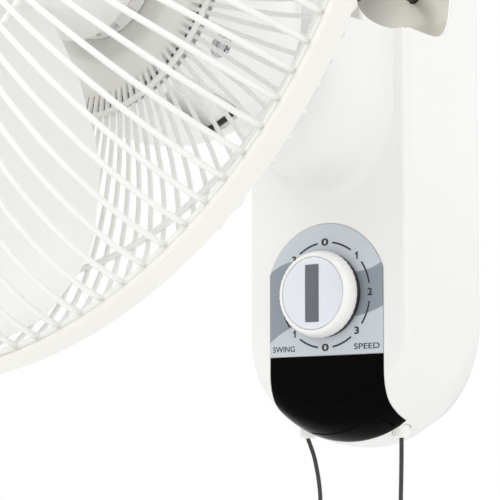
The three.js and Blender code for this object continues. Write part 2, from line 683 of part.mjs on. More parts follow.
// The neck's own axes start at the hinge axis: forward is -Y.
function neckBracket() {
  const half = KNUCKLE_WIDTH / 2;
  const webHalf = 9;
  const upperEar = -AXIS_DROP + EAR_HALF_GAP;
  const lowerEar = -AXIS_DROP - EAR_HALF_GAP;
  const earTop = upperEar + EAR_THICKNESS;
  const earBottom = lowerEar - EAR_THICKNESS;
  const body = join(
    rodX(KNUCKLE_R, -half, half, 0, 0, 24),
    box(-webHalf, webHalf, -30, 0, -9, 9),
    box(-webHalf, webHalf, -30, -16, -46, 9),
    box(-webHalf, webHalf, -42, -28, earBottom, earTop),
    box(-webHalf, webHalf, -YAW_REACH, -40, upperEar, earTop),
    box(-webHalf, webHalf, -YAW_REACH, -40, earBottom, lowerEar),
    rodZ(EAR_R, upperEar, earTop, 0, -YAW_REACH, 20),
    rodZ(EAR_R, earBottom, lowerEar, 0, -YAW_REACH, 20),
    rodZ(5, earBottom, lowerEar, LINK.pivotX, LINK.pivotY, 12));
  return cut(body,
    rodX(HINGE_PIN_R + GAP, -half - 1, half + 1, 0, 0, 16),
    rodZ(YAW_PIN_R + GAP, -100, 20, 0, -YAW_REACH, 16),
    rodZ(2 + GAP, -100, -AXIS_DROP, LINK.pivotX, LINK.pivotY, 10));
}

const LINK = { pivotX: -11, pivotY: -52, thickness: 1.5 };
const CRANK = { x: 12.3, y: -86, radius: 11, throw: 7 };
const CRANK_TOP = -AXIS_DROP - 20;
const CRANK_BOTTOM = CRANK_TOP - 3;
const CRANK_PIN_END = CRANK_BOTTOM - 2;

function yawPin() {
  const top = -AXIS_DROP + EAR_HALF_GAP + EAR_THICKNESS;
  const bottom = -AXIS_DROP - EAR_HALF_GAP - EAR_THICKNESS;
  return join(
    rodZ(YAW_PIN_R, bottom - 1.2, top + 1, 0, -YAW_REACH, 16),
    rodZ(8, top + GAP, top + 4, 0, -YAW_REACH, 16));
}

// Flat bar from the neck to just under the crank's pin.
function oscillationLink() {
  const start = new THREE.Vector2(LINK.pivotX, LINK.pivotY);
  const end = new THREE.Vector2(CRANK.x + CRANK.throw, CRANK.y);
  const along = end.clone().sub(start);
  const top = CRANK_PIN_END - GAP;
  const bar = box(-2, along.length() + 4, -4, 4, top - LINK.thickness, top)
    .rotateZ(along.angle()).translate(start.x, start.y, 0);
  const pin = rodZ(2, top - LINK.thickness, -AXIS_DROP - EAR_HALF_GAP + 1.5, start.x, start.y, 10);
  return join(bar, pin);
}

// ---------------------------------------------------------------- motor

// Head pieces are drawn about the motor axis, which is the Y axis of their group.
const COVER_FRONT = SHIELD_FACE - 2.7 - GAP;

function coverProfile(inset) {
  return [
    [COVER_REAR_R - inset, -COVER_START - inset], [COVER_REAR_R + 7 - inset, -COVER_START - 7],
    [COVER_R - 3 - inset, -COVER_START - 26], [COVER_R - inset, -COVER_START - 48], [COVER_R - inset, -COVER_FRONT],
  ];
}

const VENT = { start: 72, end: 127, low: -0.91 * COVER_R, high: -0.75 * COVER_R, depth: COVER_R };

function motorCover() {
  const outer = coverProfile(0);
  const inner = coverProfile(COVER_WALL).reverse();
  const shell = turned([
    [COVER_OPENING_R, -COVER_START], ...outer, ...inner,
    [COVER_OPENING_R, -COVER_START - COVER_WALL], [COVER_OPENING_R, -COVER_START],
  ], FINE + 4);
  const vent = box(8, VENT.depth, -VENT.end, -VENT.start, VENT.low, VENT.high);
  return cut(shell, vent);
}

const SHIELD_REAR = SHIELD_FACE - 2.7;
const STATOR_START = 103;
const STATOR_END = 127;
const REAR_BELL = 99;

function motorShield() {
  const seat = 8 + GAP;
  return turned([
    [SHAFT_R + 1.2, -SHIELD_FACE - BOSS_LENGTH], [BOSS_R, -SHIELD_FACE - BOSS_LENGTH], [BOSS_R, -SHIELD_FACE],
    [COVER_R - 0.5, -SHIELD_FACE], [COVER_R - 0.5, -SHIELD_REAR], [STATOR_R + 3, -SHIELD_REAR],
    [STATOR_R + 3, -STATOR_END - 1], [STATOR_R + 0.8, -STATOR_END - 1], [STATOR_R + 0.8, -SHIELD_REAR],
    [seat, -SHIELD_REAR], [seat, -SHIELD_FACE - 6], [SHAFT_R + 1.2, -SHIELD_FACE - 6],
    [SHAFT_R + 1.2, -SHIELD_FACE - BOSS_LENGTH],
  ], FINE + 4);
}

function rearBell() {
  return turned([
    [8 + GAP, -REAR_BELL], [STATOR_R + 3, -REAR_BELL], [STATOR_R + 3, -STATOR_END + 1], [STATOR_R + GAP, -STATOR_END + 1],
    [STATOR_R + GAP, -REAR_BELL - 2.5], [8 + GAP, -REAR_BELL - 2.5], [8 + GAP, -REAR_BELL],
  ], FINE);
}

const statorCore = () => turned([
  [STATOR_BORE, -STATOR_START - 4], [STATOR_R, -STATOR_START - 4], [STATOR_R, -STATOR_END + 4],
  [STATOR_BORE, -STATOR_END + 4], [STATOR_BORE, -STATOR_START - 4],
], FINE);

function windingRing(y0, y1) {
  return turned([[27, y0], [39, y0], [39, y1], [27, y1], [27, y0]], COARSE);
}

function bearing(y0, y1) {
  const bore = SHAFT_R + GAP / 2;
  return turned([[bore, y0], [8, y0], [8, y1], [bore, y1], [bore, y0]], COARSE);
}

const HUB_START = SHIELD_FACE + BOSS_LENGTH + 4;
const HUB_END = HUB_START + HUB_LENGTH;
const SHAFT_END = HUB_END + 9;
const WORM_START = 79;

function motorShaft() {
  return join(
    turned([[0, -SHAFT_END], [SHAFT_R, -SHAFT_END], [SHAFT_R, -WORM_START - 14], [3.4, -WORM_START - 13],
      [3.4, -WORM_START], [0, -WORM_START]], COARSE),
    rodX(1.5, -11, 11, -HUB_START - 2, 0, 10));
}

const rotorCore = () => turned([
  [SHAFT_R + 0.1, -STATOR_START - 4], [ROTOR_R, -STATOR_START - 4], [ROTOR_R, -STATOR_END + 4],
  [SHAFT_R + 0.1, -STATOR_END + 4], [SHAFT_R + 0.1, -STATOR_START - 4],
], COARSE);

// Casting with the upright socket that turns on the yaw pin.
function gearboxCase() {
  const half = EAR_HALF_GAP - GAP;
  const rear = -75;
  const body = join(
    rodZ(11, -half, half, 0, -YAW_REACH, 20),
    box(-8, 8, rear, -YAW_REACH, -half, half),
    box(-26, 26, rear - 2, rear, -18, 22),
    box(-26, 26, -REAR_BELL + GAP, rear - 1, -18, -15.5),
    box(-26, 26, -REAR_BELL + GAP, rear - 1, 19.5, 22));
  return cut(body,
    rodZ(YAW_PIN_R + GAP, -30, 30, 0, -YAW_REACH, 16),
    rodZ(2.8, -30, 0, CRANK.x, CRANK.y, 12));
}

// Worm wheel, its upright shaft, and the crank disc with its pin, as one turning set.
const wormWheel = () => cut(
  rodZ(8.3, -3, 3, CRANK.x, CRANK.y, 34),
  rodZ(2.5 + 0.1, -5, 5, CRANK.x, CRANK.y, 12));

function crank() {
  return join(
    rodZ(2.5, CRANK_BOTTOM + AXIS_DROP + 1, 5, CRANK.x, CRANK.y, 12),
    rodZ(CRANK.radius, CRANK_BOTTOM + AXIS_DROP, CRANK_TOP + AXIS_DROP, CRANK.x, CRANK.y, 24),
    rodZ(2, CRANK_PIN_END + AXIS_DROP, CRANK_BOTTOM + AXIS_DROP + 1, CRANK.x + CRANK.throw, CRANK.y, 12));
}

// Pan-head screws with washers that hold the cover to the shield.
const COVER_SCREW_Y = -118;
const COVER_SCREW_TURN = THREE.MathUtils.degToRad(31);

function coverScrews() {
  const screw = join(
    rodX(6, COVER_R + GAP, COVER_R + 1.3, COVER_SCREW_Y, 0, 16),
    rodX(4.4, COVER_R + 1.2, COVER_R + 3.8, COVER_SCREW_Y, 0, 16));
  return aroundY(screw, 4, COVER_SCREW_TURN);
}

// ---------------------------------------------------------------- guard

const PLATE_R = 60;
const PLATE_SHEET = 1.6;
const GUARD_WIRE_R = GUARD_R - 4;
const BAND_HALF = BAND_WIDTH / 2;
const RIM_HALF_GAP = RIM_WIRE_R + 0.4;
const RIM_SIDES = 40;

// Share of its full depth that a bowl has at a radius: flat in the middle, steep at the edge.
function bowlShare(radius, power) {
  return (1 - Math.min(1, Math.max(0, radius / GUARD_WIRE_R)) ** power) ** (1 / 1.6);
}

// Distance from the rim's middle plane at a radius.
function bowl(radius, edgeDepth, depth, power) {
  return edgeDepth + (depth - edgeDepth) * bowlShare(radius, power);
}

const WIRE_SHARES = [0.4, 0.57, 0.71, 0.83, 0.915, 0.972, 1];

function guardWire(side, innerRadius, depth, power) {
  const radii = [innerRadius, ...WIRE_SHARES.map((share) => share * GUARD_WIRE_R)];
  const points = radii.map((radius) => [radius, -RIM_REACH + side * bowl(radius, RIM_HALF_GAP, depth, power), 0]);
  return wireAlong(points, WIRE_R, 5);
}

function guard(side, innerRadius, depth, power, ringRadii) {
  const wires = aroundY(guardWire(side, innerRadius, depth, power), GUARD_WIRES, Math.PI / GUARD_WIRES);
  const rings = ringRadii.map((radius) => ringY(radius, WIRE_R,
    -RIM_REACH + side * (bowl(radius, RIM_HALF_GAP, depth, power) + WIRE_R * 0.6)));
  const rim = ringY(GUARD_WIRE_R, RIM_WIRE_R, -RIM_REACH + side * RIM_HALF_GAP, RIM_SIDES);
  return join(rim, ...rings, ...wires);
}

const REAR_POWER = 2.6;
const FRONT_POWER = 4.5;
const RING_R = 0.616 * GUARD_WIRE_R;
const rearRings = [RING_R];
const frontRings = [RING_R];

// The rear wires start in the plate's front face, sunk by a third of their radius.
const PLATE_FACE = SHIELD_FACE + GAP + PLATE_SHEET;
const REAR_DEPTH = RIM_HALF_GAP
  + (RIM_REACH - PLATE_FACE - WIRE_R * 0.65 - RIM_HALF_GAP) / bowlShare(PLATE_R, REAR_POWER);

function rearGuard() {
  const plateY = -SHIELD_FACE - GAP;
  const plate = turned([
    [BOSS_R + GAP, plateY], [PLATE_R + 3, plateY], [PLATE_R + 3, -PLATE_FACE], [BOSS_R + GAP, -PLATE_FACE],
    [BOSS_R + GAP, plateY],
  ], FINE + 4);
  return join(guard(1, PLATE_R, REAR_DEPTH, REAR_POWER, rearRings), plate);
}

function guardNut() {
  const y = -PLATE_FACE - GAP;
  const ring = turned([
    [BOSS_R + GAP, y], [30, y], [27, y - 7], [BOSS_R + GAP, y - 7], [BOSS_R + GAP, y],
  ], FINE + 4);
  const grips = aroundY(box(24, 32, y - 8, y - 1.5, -1.5, 1.5), 8);
  return cut(ring, ...grips);
}

function frontGuard() {
  const y = -RIM_REACH - bowl(BADGE_R, RIM_HALF_GAP, FRONT_DEPTH, FRONT_POWER);
  return join(guard(-1, BADGE_R - 2, FRONT_DEPTH, FRONT_POWER, frontRings), ringY(BADGE_R - 3, RIM_WIRE_R, y));
}

function centreBadge() {
  const y = -RIM_REACH - bowl(BADGE_R, RIM_HALF_GAP, FRONT_DEPTH, FRONT_POWER) - RIM_WIRE_R - GAP;
  return turned([[0, y], [BADGE_R, y], [BADGE_R, y - 2.5], [BADGE_R - 6, y - 5], [0, y - 7]], FINE);
}

function clampBand() {
  const inner = GUARD_WIRE_R + RIM_WIRE_R + GAP;
  const [y0, y1] = [-RIM_REACH - BAND_HALF, -RIM_REACH + BAND_HALF];
  const ring = turned([
    [inner, y0], [inner + BAND_THICKNESS, y0], [inner + BAND_THICKNESS, y1], [inner, y1], [inner, y0],
  ], RIM_SIDES);
  const lugs = [-7, 3].map((x) => box(x, x + 4, y0 + 1, y1 - 1, -inner - 12, -inner - 1));
  return cut(join(ring, ...lugs),
    box(-3, 3, y0 - 2, y1 + 2, -inner - 14, -inner + 2),
    rodX(2 + GAP, -20, 20, -RIM_REACH, -inner - 8, 12));
}

function bandScrew() {
  const z = -GUARD_WIRE_R - RIM_WIRE_R - GAP - 8;
  return join(
    rodX(2, -11, 8, -RIM_REACH, z, 12),
    rodX(3.6, 7 + GAP, 10, -RIM_REACH, z, 12),
    rodX(3.4, -10.5, -7 - GAP, -RIM_REACH, z, 6));
}

// ---------------------------------------------------------------- blades

// One blade: wedge-shaped sections from the hub to the tip, twisted about its own radius.
// Chord and sweep are shares of the blades' radius.
function blade() {
  const stations = [
    { r: HUB_R - 3, chord: 0.27, pitch: 38, sweep: 0, thickness: 4 },
    { r: 0.36 * BLADE_R, chord: 0.54, pitch: 33, sweep: 0.04, thickness: 3 },
    { r: 0.59 * BLADE_R, chord: 0.78, pitch: 27, sweep: 0.08, thickness: 2.6 },
    { r: 0.82 * BLADE_R, chord: 0.86, pitch: 20, sweep: 0.11, thickness: 2.4 },
    { r: 0.955 * BLADE_R, chord: 0.66, pitch: 17, sweep: 0.13, thickness: 2.2 },
    { r: BLADE_R, chord: 0.42, pitch: 16, sweep: 0.15, thickness: 2 },
  ];
  const middle = -HUB_END + BLADE_SETBACK;
  const sections = stations.map(({ r, pitch, thickness, ...shares }) => {
    const turn = THREE.MathUtils.degToRad(pitch);
    const chord = shares.chord * BLADE_R;
    const sweep = shares.sweep * BLADE_R;
    const camber = 0.06 * chord;
    const skin = (side) => [-0.5, -0.25, 0, 0.25, 0.5].map((u) => {
      const lift = camber * (1 - 4 * u * u) + side * thickness * 0.5 * (1 - 2 * u * u);
      const along = u * chord + sweep;
      const tangent = along * Math.cos(turn) - lift * Math.sin(turn);
      const axial = along * Math.sin(turn) + lift * Math.cos(turn);
      const angle = Math.atan2(tangent, r);
      return [r * Math.cos(angle), middle + axial - sweep * Math.sin(turn), r * Math.sin(angle)];
    });
    return [...skin(1), ...skin(-1).reverse()];
  });
  return loftSkin(sections);
}

// As loft, for sections that lie on curved surfaces: the ends close as strips, and the two skins
// split their faces along the same lines, so that a thin twisted piece stays clear of itself.
function loftSkin(sections) {
  const count = sections[0].length;
  const faces = [];
  for (let s = 0; s + 1 < sections.length; s++) {
    for (let i = 0; i < count; i++) {
      const a = s * count + i;
      const b = s * count + (i + 1) % count;
      const [c, d] = [b + count, a + count];
      faces.push(...(i < count / 2 ? [a, b, c, a, c, d] : [a, b, d, b, c, d]));
    }
  }
  const last = (sections.length - 1) * count;
  for (let i = 0; i < count / 2 - 1; i++) {
    const [a, b, c, d] = [i, i + 1, count - 2 - i, count - 1 - i];
    faces.push(b, a, c, a, d, c, last + a, last + b, last + c, last + a, last + c, last + d);
  }
  const geometry = new THREE.BufferGeometry();
  geometry.setAttribute('position', new THREE.Float32BufferAttribute(sections.flat(2), 3));
  geometry.setIndex(faces);
  return outward(geometry);
}

function fanBlades() {
  const hub = turned([
    [SHAFT_R + 0.1, -HUB_START], [HUB_R, -HUB_START], [HUB_R, -HUB_END + 8], [HUB_R - 8, -HUB_END],
    [SHAFT_R + 0.1, -HUB_END], [SHAFT_R + 0.1, -HUB_START],
  ], 8 * BLADE_COUNT);
  const set = join(hub, ...aroundY(blade(), BLADE_COUNT)).rotateY(-THREE.MathUtils.degToRad(BLADE_START));
  return cut(set, box(-12, 12, -HUB_START - 4, -HUB_START + 1, -2.4, 2.4));
}

function spinner() {
  const y = -HUB_END - GAP;
  return turned([
    [SHAFT_R + 0.2, y], [20, y], [19, y - 6], [13, y - 14], [0, y - 17], [0, -SHAFT_END - GAP],
    [SHAFT_R + 0.2, -SHAFT_END - GAP], [SHAFT_R + 0.2, y],
  ], COARSE);
}

// ---------------------------------------------------------------- assembly

part(fan, 'wall_bracket', wallBracket(), steel);
part(fan, 'back_plate', backPlate(), creamPlastic);
screwPlaces.forEach((place, i) => part(fan, `back_plate_screw_${i + 1}`, plateScrew(place), steel));
part(fan, 'cable_grommet', cableGrommet(), blackPlastic);
part(fan, 'base_housing', baseHousing(), whitePlastic);
part(fan, 'bottom_trim', bottomTrim(), darkTrim);
part(fan, 'dial_label', cut(
  prismY(labelOutline(0), FRONT_Y - LABEL_THICKNESS / 2, FRONT_Y + LABEL_THICKNESS / 2 - GAP),
  rodY(SPINDLE_R + 1, FRONT_Y - 5, FRONT_Y + 5, 0, DIAL_Z, 16)), labelGrey);
part(fan, 'motor_lead', motorLead(), brownRubber);
part(fan, 'rotary_switch', rotarySwitch(), blackPlastic);
part(fan, 'swing_switch', swingSwitch(), blackPlastic);
part(fan, 'swing_switch_carrier', swingSwitchCarrier(), creamPlastic);
part(fan, 'lever_post', leverPost(), creamPlastic);
part(fan, 'speed_lever', speedLever(), creamPlastic);
part(fan, 'capacitor', capacitorBox(), blackPlastic);
part(fan, 'terminal_block', terminalBlock(), creamPlastic);
part(fan, 'speed_bush', cordBush(CORD_X), whitePlastic);
part(fan, 'swing_bush', cordBush(-CORD_X), whitePlastic);
part(fan, 'speed_rod', pullRod(CORD_X), creamPlastic);
part(fan, 'swing_rod', pullRod(-CORD_X), creamPlastic);
part(fan, 'speed_spring', returnSpring(CORD_X), steel);
part(fan, 'swing_spring', returnSpring(-CORD_X), steel);
part(fan, 'speed_cord', tubeAlong(speedRoute, CORD_D / 2, 16), braid);
part(fan, 'swing_cord', tubeAlong(swingRoute, CORD_D / 2, 20), braid);
part(fan, 'speed_handle', pullHandle(speedRoute.at(-1)), whitePlastic);
part(fan, 'swing_handle', pullHandle(swingRoute.at(-1)), whitePlastic);
part(fan, 'knob', knob(), whitePlastic);
part(fan, 'knob_cap', knobCap(), capSilver);
part(fan, 'knob_pointer', pointerBlock(0, KNOB_FRONT_Y, KNOB_FRONT_Y + 0.6), pointerGrey);
part(fan, 'switch_spindle', rodY(SPINDLE_R, SPINDLE_END_Y, SWITCH_REAR_Y - 3 - GAP, 0, DIAL_Z, 16), brass);
part(fan, 'hinge_pin', hingePin(), coreSteel);

const neck = new THREE.Group();
neck.position.set(0, HINGE_Y, HINGE_Z);
neck.rotation.x = -THREE.MathUtils.degToRad(HEAD_RISE);
fan.add(neck);
part(neck, 'neck_bracket', neckBracket(), whitePlastic);
part(neck, 'yaw_pin', yawPin(), steel);
part(neck, 'oscillation_link', oscillationLink(), steel);

const head = new THREE.Group();
head.position.z = -AXIS_DROP;
neck.add(head);
part(head, 'gearbox_case', gearboxCase(), castAlloy);
part(head, 'motor_cover', motorCover(), whitePlastic);
part(head, 'motor_shield', motorShield(), castAlloy);
part(head, 'motor_rear_bell', rearBell(), castAlloy);
part(head, 'stator_core', statorCore(), coreSteel);
part(head, 'winding_rear', windingRing(-STATOR_START - 4 + GAP, -STATOR_START + 0.5), copper);
part(head, 'winding_front', windingRing(-STATOR_END - 0.5, -STATOR_END + 4 - GAP), copper);
part(head, 'front_bearing', bearing(-SHIELD_FACE - 6 + GAP, -SHIELD_REAR - 0.2), brass);
part(head, 'rear_bearing', bearing(-REAR_BELL - 2.5, -REAR_BELL), brass);
coverScrews().forEach((screw, i) => part(head, `cover_screw_${i + 1}`, screw, steel));
part(head, 'rear_guard', rearGuard(), whiteWire);
part(head, 'guard_nut', guardNut(), whitePlastic);
part(head, 'front_guard', frontGuard(), whiteWire);
part(head, 'centre_badge', centreBadge(), whitePlastic);
part(head, 'clamp_band', clampBand(), creamPlastic);
part(head, 'band_screw', bandScrew(), steel);
part(head, 'motor_shaft', motorShaft(), steel);
part(head, 'rotor_core', rotorCore(), coreSteel);
part(head, 'fan_blades', fanBlades(), whitePlastic);
part(head, 'spinner', spinner(), whitePlastic);
part(head, 'worm_wheel', wormWheel(), brass);
part(head, 'crank', crank(), steel);

export default fan;
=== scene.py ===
"""Looks of the wall fan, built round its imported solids."""
import math

import bmesh
import bpy
from bpy.props import FloatProperty, FloatVectorProperty, IntProperty, PointerProperty
from bpy.types import Operator, Panel, PropertyGroup
from mathutils import Matrix, Vector


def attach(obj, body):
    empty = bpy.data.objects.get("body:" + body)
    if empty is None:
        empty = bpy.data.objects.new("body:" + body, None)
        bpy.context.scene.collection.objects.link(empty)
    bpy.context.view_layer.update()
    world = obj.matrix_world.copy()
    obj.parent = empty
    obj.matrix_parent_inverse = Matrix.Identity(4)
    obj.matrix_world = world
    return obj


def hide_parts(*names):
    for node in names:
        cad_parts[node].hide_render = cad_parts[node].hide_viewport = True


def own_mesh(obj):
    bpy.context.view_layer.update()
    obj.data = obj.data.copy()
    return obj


bl_info = {
    "name": "Wall Fan",
    "version": (1, 0, 0),
    "blender": (4, 5, 0),
    "location": "View3D > Sidebar > Wall Fan",
    "description": "Builds a wall fan with its guard, blades, dial and pull cords",
    "category": "Object",
}

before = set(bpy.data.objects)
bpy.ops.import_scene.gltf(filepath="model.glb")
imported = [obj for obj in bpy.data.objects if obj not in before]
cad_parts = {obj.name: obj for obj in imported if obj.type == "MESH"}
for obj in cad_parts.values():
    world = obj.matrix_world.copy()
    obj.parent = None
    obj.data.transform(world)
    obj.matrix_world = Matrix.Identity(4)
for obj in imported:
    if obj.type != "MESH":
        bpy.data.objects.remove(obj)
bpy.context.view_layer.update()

MM = 0.001
GAP = 0.3

# Base, in millimetres
BASE_WIDTH = 112
BASE_DEPTH = 84
BASE_BOTTOM = -148.5
BASE_TOP = 150
BOTTOM_RISE = 40
KEEL_DEPTH = 48
FRONT_LIFT = 23
FRONT_RISE = 49.5
REAR_LIFT = 9
REAR_RISE = 68
REAR_RIM_Y = -1
TOP_CORNER = 15
WALL = 3
EDGE_ROUND = 4
EDGE_DEPTH = 6
SADDLE_FLOOR = 91
SADDLE_RISE = 70
SADDLE_REAR_Y = -31
SADDLE_FRONT_Y = -122
FRONT_Y = -BASE_DEPTH
ARM_HALF_WIDTH = 45
ARM_BOTTOM = 4
ARM_TOP = 138
ARM_REACH = 58
ARM_CORNER = 16
CHIN_FLARE = 13
SIDE_FLARE = 3
ARM_FRONT_Y = FRONT_Y - ARM_REACH
PLATE_SCREWS_Z = (118, -124)
GROMMET_Z = -110
HOOK_X = 20
HINGE_Y = -132
HINGE_Z = 103
HINGE_R = 4
LEAD_X = 30
LEAD_END_Z = 124
LEAD_R = 3.5
HEAD_RISE = 8
AXIS_DROP = 41.6
YAW_REACH = 60

# Dial, trim and cords
DIAL_Z = -60
KNOB_REAR_Y = FRONT_Y - 1.2
KNOB_FRONT_Y = KNOB_REAR_Y - 13
GRIP_START_R = 22.5
GRIP_DEPTH = 0.22
LABEL_HALF_WIDTH = 39.5
LABEL_R = 41.8
LABEL_DROP = 35.2
LABEL_FACE_Y = FRONT_Y - 0.4
PRINT_R = 30.9
TRIM_TOP = DIAL_Z - LABEL_DROP - GAP
TRIM_REACH_BACK = 24
TRIM_SHEET = 1.2
SPINDLE_HOLE_R = 4
CORD_X = 33
CORD_Y = -54.4
CORD_EXIT_Z = -139
CORD_HOLE_R = 5.3
BUSH_TOP = -124
PRINT_STAND = 0.03
# Bends of each cord: how far inward and how far below its exit
CORD_BENDS = {
    "speed": ((0, 0), (0, 10), (0.3, 25), (0.9, 45), (1.4, 70), (1.6, 95), (1.7, 123)),
    "swing": ((0, 0), (0, 4), (1.8, 8.5), (4.4, 15), (6.2, 22), (7.8, 30), (8.9, 42), (9.4, 75), (9.6, 123)),
}
CORD_SIDES = {"speed": 1, "swing": -1}

# Head, along the motor axis
COVER_START = 46
SHIELD_FACE = 137
COVER_R = 68
COVER_REAR_R = 50
COVER_SCREW_Y = 118
COVER_SCREW_TURN = 31
COVER_WALL = 2.5
RIM_REACH = 222.7
GUARD_WIRE_R = 211
RIM_WIRE_R = 2.2
RIM_HALF_GAP = 2.6
PLATE_R = 63
PLATE_SHEET = 1.6
REAR_RINGS = (72, 158)
FRONT_RINGS = (43, 130)
BADGE_R = 46
BAND_HALF = 6.5
HUB_START = 153
HUB_END = 215
BLADE_COUNT = 3
BLADE_START = 15


def at(x, y, z):
    """A shift, given in millimetres."""
    return Matrix.Translation(Vector((x, y, z)) * MM)


NECK = at(0, HINGE_Y, HINGE_Z) @ Matrix.Rotation(-math.radians(HEAD_RISE), 4, "X")
HEAD = NECK @ at(0, 0, -AXIS_DROP)
Y_TO_X = Matrix.Rotation(-math.pi / 2, 4, "Z")
Y_TO_Z = Matrix.Rotation(math.pi / 2, 4, "X")


def length(name, description, default):
    """A length that the panel shows, given in millimetres."""
    return FloatProperty(name=name, description=description, default=default * MM, unit="LENGTH")


def colour(name, description, default):
    """A colour that the panel shows."""
    return FloatVectorProperty(name=name, description=description, subtype="COLOR", default=default)


class FanSizes(PropertyGroup):
    """Sizes that a user may change."""
    wire_count: IntProperty(
        name="Guard wires", description="Wires in each half of the guard", default=110, min=24, max=140)
    wire_radius: length("Wire radius", "Radius of a guard wire", 1.15)
    ring_radius: length("Ring wire radius", "Radius of a guard ring's wire", 1.5)
    cord_diameter: length("Cord diameter", "Diameter of a pull cord", 2.6)
    knob_scallops: IntProperty(
        name="Knob grips", description="Grip hollows round the dial knob", default=44, min=8, max=60)
    print_height: length("Numeral height", "Height of the dial's numerals", 4.4)


class FanColours(PropertyGroup):
    """Colours that a user may change."""
    body: colour("Body", "Glossy body plastic", (0.86, 0.855, 0.835))
    # Colour of the painted shade inside the saddle
    saddle: colour("Saddle", "Plastic inside the saddle", (0.5, 0.485, 0.425))
    cream: colour("Cream", "Band and inner plastic", (0.85, 0.84, 0.79))
    wire: colour("Wire", "Coated guard wire", (0.87, 0.865, 0.835))
    trim: colour("Trim", "Dark glossy trim", (0.0022, 0.0018, 0.0018))
    label: colour("Label", "Dial label ground", (0.565, 0.61, 0.655))
    band: colour("Label band", "Darker wave on the label", (0.26, 0.295, 0.335))
    ink: colour("Ink", "Numerals and words", (0.022, 0.024, 0.03))
    face: colour("Knob face", "Silver face of the knob", (0.785, 0.815, 0.875))
    pointer: colour("Pointer", "Stripe across the knob", (0.125, 0.135, 0.16))
    cord: colour("Cord", "Braided pull cord", (0.012, 0.012, 0.013))
    sheath: colour("Lead sheath", "Motor lead", (0.055, 0.03, 0.02))


# ---------------------------------------------------------------- finishes

def node(tree, kind, **sockets):
    """A shader node with its sockets set or linked."""
    made = tree.nodes.new(kind)
    for name, value in sockets.items():
        target = made.inputs[name.replace("_", " ")]
        if isinstance(value, bpy.types.NodeSocket):
            tree.links.new(value, target)
        else:
            target.default_value = value
    return made


def math_node(tree, operation, first, second=None, third=None, clamp=False):
    """The result of a sum on numbers or sockets."""
    made = tree.nodes.new("ShaderNodeMath")
    made.operation = operation
    made.use_clamp = clamp
    for socket, value in zip(made.inputs, (first, second, third)):
        if isinstance(value, bpy.types.NodeSocket):
            tree.links.new(value, socket)
        elif value is not None:
            socket.default_value = value
    return made.outputs[0]


def mixed(tree, share, first, second):
    """A blend of two colours."""
    made = tree.nodes.new("ShaderNodeMix")
    made.data_type = "RGBA"
    for socket, value in ((made.inputs[0], share), (made.inputs[6], first), (made.inputs[7], second)):
        if isinstance(value, bpy.types.NodeSocket):
            tree.links.new(value, socket)
        else:
            socket.default_value = value
    return made.outputs[2]


def tint(colour, factor):
    """A colour made lighter or darker, with its alpha."""
    return (*[min(1.0, channel * factor) for channel in colour], 1)


def noise(tree, place, scale, detail=3.0, stretch=None):
    """Cloudy noise at a place, drawn out where stretch says so."""
    if stretch:
        place = node(tree, "ShaderNodeMapping", Vector=place, Scale=stretch).outputs[0]
    return node(tree, "ShaderNodeTexNoise", Vector=place, Scale=scale, Detail=detail).outputs[0]


def surface(name, colour, rough, metal=0.0, spread=0.03, patch=18, grain=900, depth=0.00002, coat=0.0,
            stretch=None, soft_edge=0.0, fine_spread=0.0, sheen=0.0, level=0.5, paint=None):
    """A finish with cloudy colour, uneven gloss and a fine relief, all in the piece's own place."""
    material = bpy.data.materials.new(name)
    material.use_nodes = True
    tree = material.node_tree
    shader = tree.nodes["Principled BSDF"]
    place = node(tree, "ShaderNodeTexCoord").outputs["Object"]
    clouds = noise(tree, place, patch, 4.0, stretch)
    grains = noise(tree, place, grain, 2.0, stretch)
    base = mixed(tree, clouds, tint(colour, 1 - spread), tint(colour, 1 + spread))
    if fine_spread:
        base = mixed(tree, math_node(tree, "MULTIPLY", grains, fine_spread), base, tint(colour, 0.35))
    if paint:
        base = paint(tree, place, base)
    tree.links.new(base, shader.inputs["Base Color"])
    uneven = math_node(tree, "MULTIPLY_ADD", clouds, rough * 0.35, rough * 0.82, clamp=True)
    tree.links.new(uneven, shader.inputs["Roughness"])
    relief = node(tree, "ShaderNodeBump", Height=grains, Strength=0.6, Distance=depth)
    if soft_edge:
        rounded = node(tree, "ShaderNodeBevel", Radius=soft_edge)
        rounded.samples = 4
        tree.links.new(rounded.outputs[0], relief.inputs["Normal"])
    tree.links.new(relief.outputs[0], shader.inputs["Normal"])
    shader.inputs["Metallic"].default_value = metal
    shader.inputs["Coat Weight"].default_value = coat
    shader.inputs["Coat Roughness"].default_value = 0.16
    shader.inputs["Sheen Weight"].default_value = sheen
    shader.inputs["Specular IOR Level"].default_value = level
    return material


# Edges of the darker wave over the label's width, as cubics in millimetres about the label's middle
LABEL_WAVE_HIGH = (17.4, -0.3, -0.00053, 0.000215)
LABEL_WAVE_LOW = (-14.8, 0.035, -0.00188, 0.000128)


def cubic(tree, across, terms):
    """A polynomial of the place across the label, its constant term first."""
    total = terms[-1]
    for term in terms[-2::-1]:
        total = math_node(tree, "MULTIPLY_ADD", across, total, term)
    return total


def label_band(colours):
    """The darker wave that runs across the label."""
    def paint(tree, place, base):
        parts = node(tree, "ShaderNodeSeparateXYZ", Vector=place).outputs
        across = math_node(tree, "MULTIPLY", parts[0], 1000)
        up = math_node(tree, "MULTIPLY_ADD", parts[2], 1000, -DIAL_Z)
        lower = cubic(tree, across, LABEL_WAVE_LOW)
        upper = cubic(tree, across, LABEL_WAVE_HIGH)
        above = math_node(tree, "MULTIPLY", math_node(tree, "SUBTRACT", up, lower), 1.6, clamp=True)
        below = math_node(tree, "MULTIPLY", math_node(tree, "SUBTRACT", upper, up), 1.6, clamp=True)
        inside = math_node(tree, "MULTIPLY", above, below)
        return mixed(tree, inside, base, tint(colours.band, 1))
    return paint


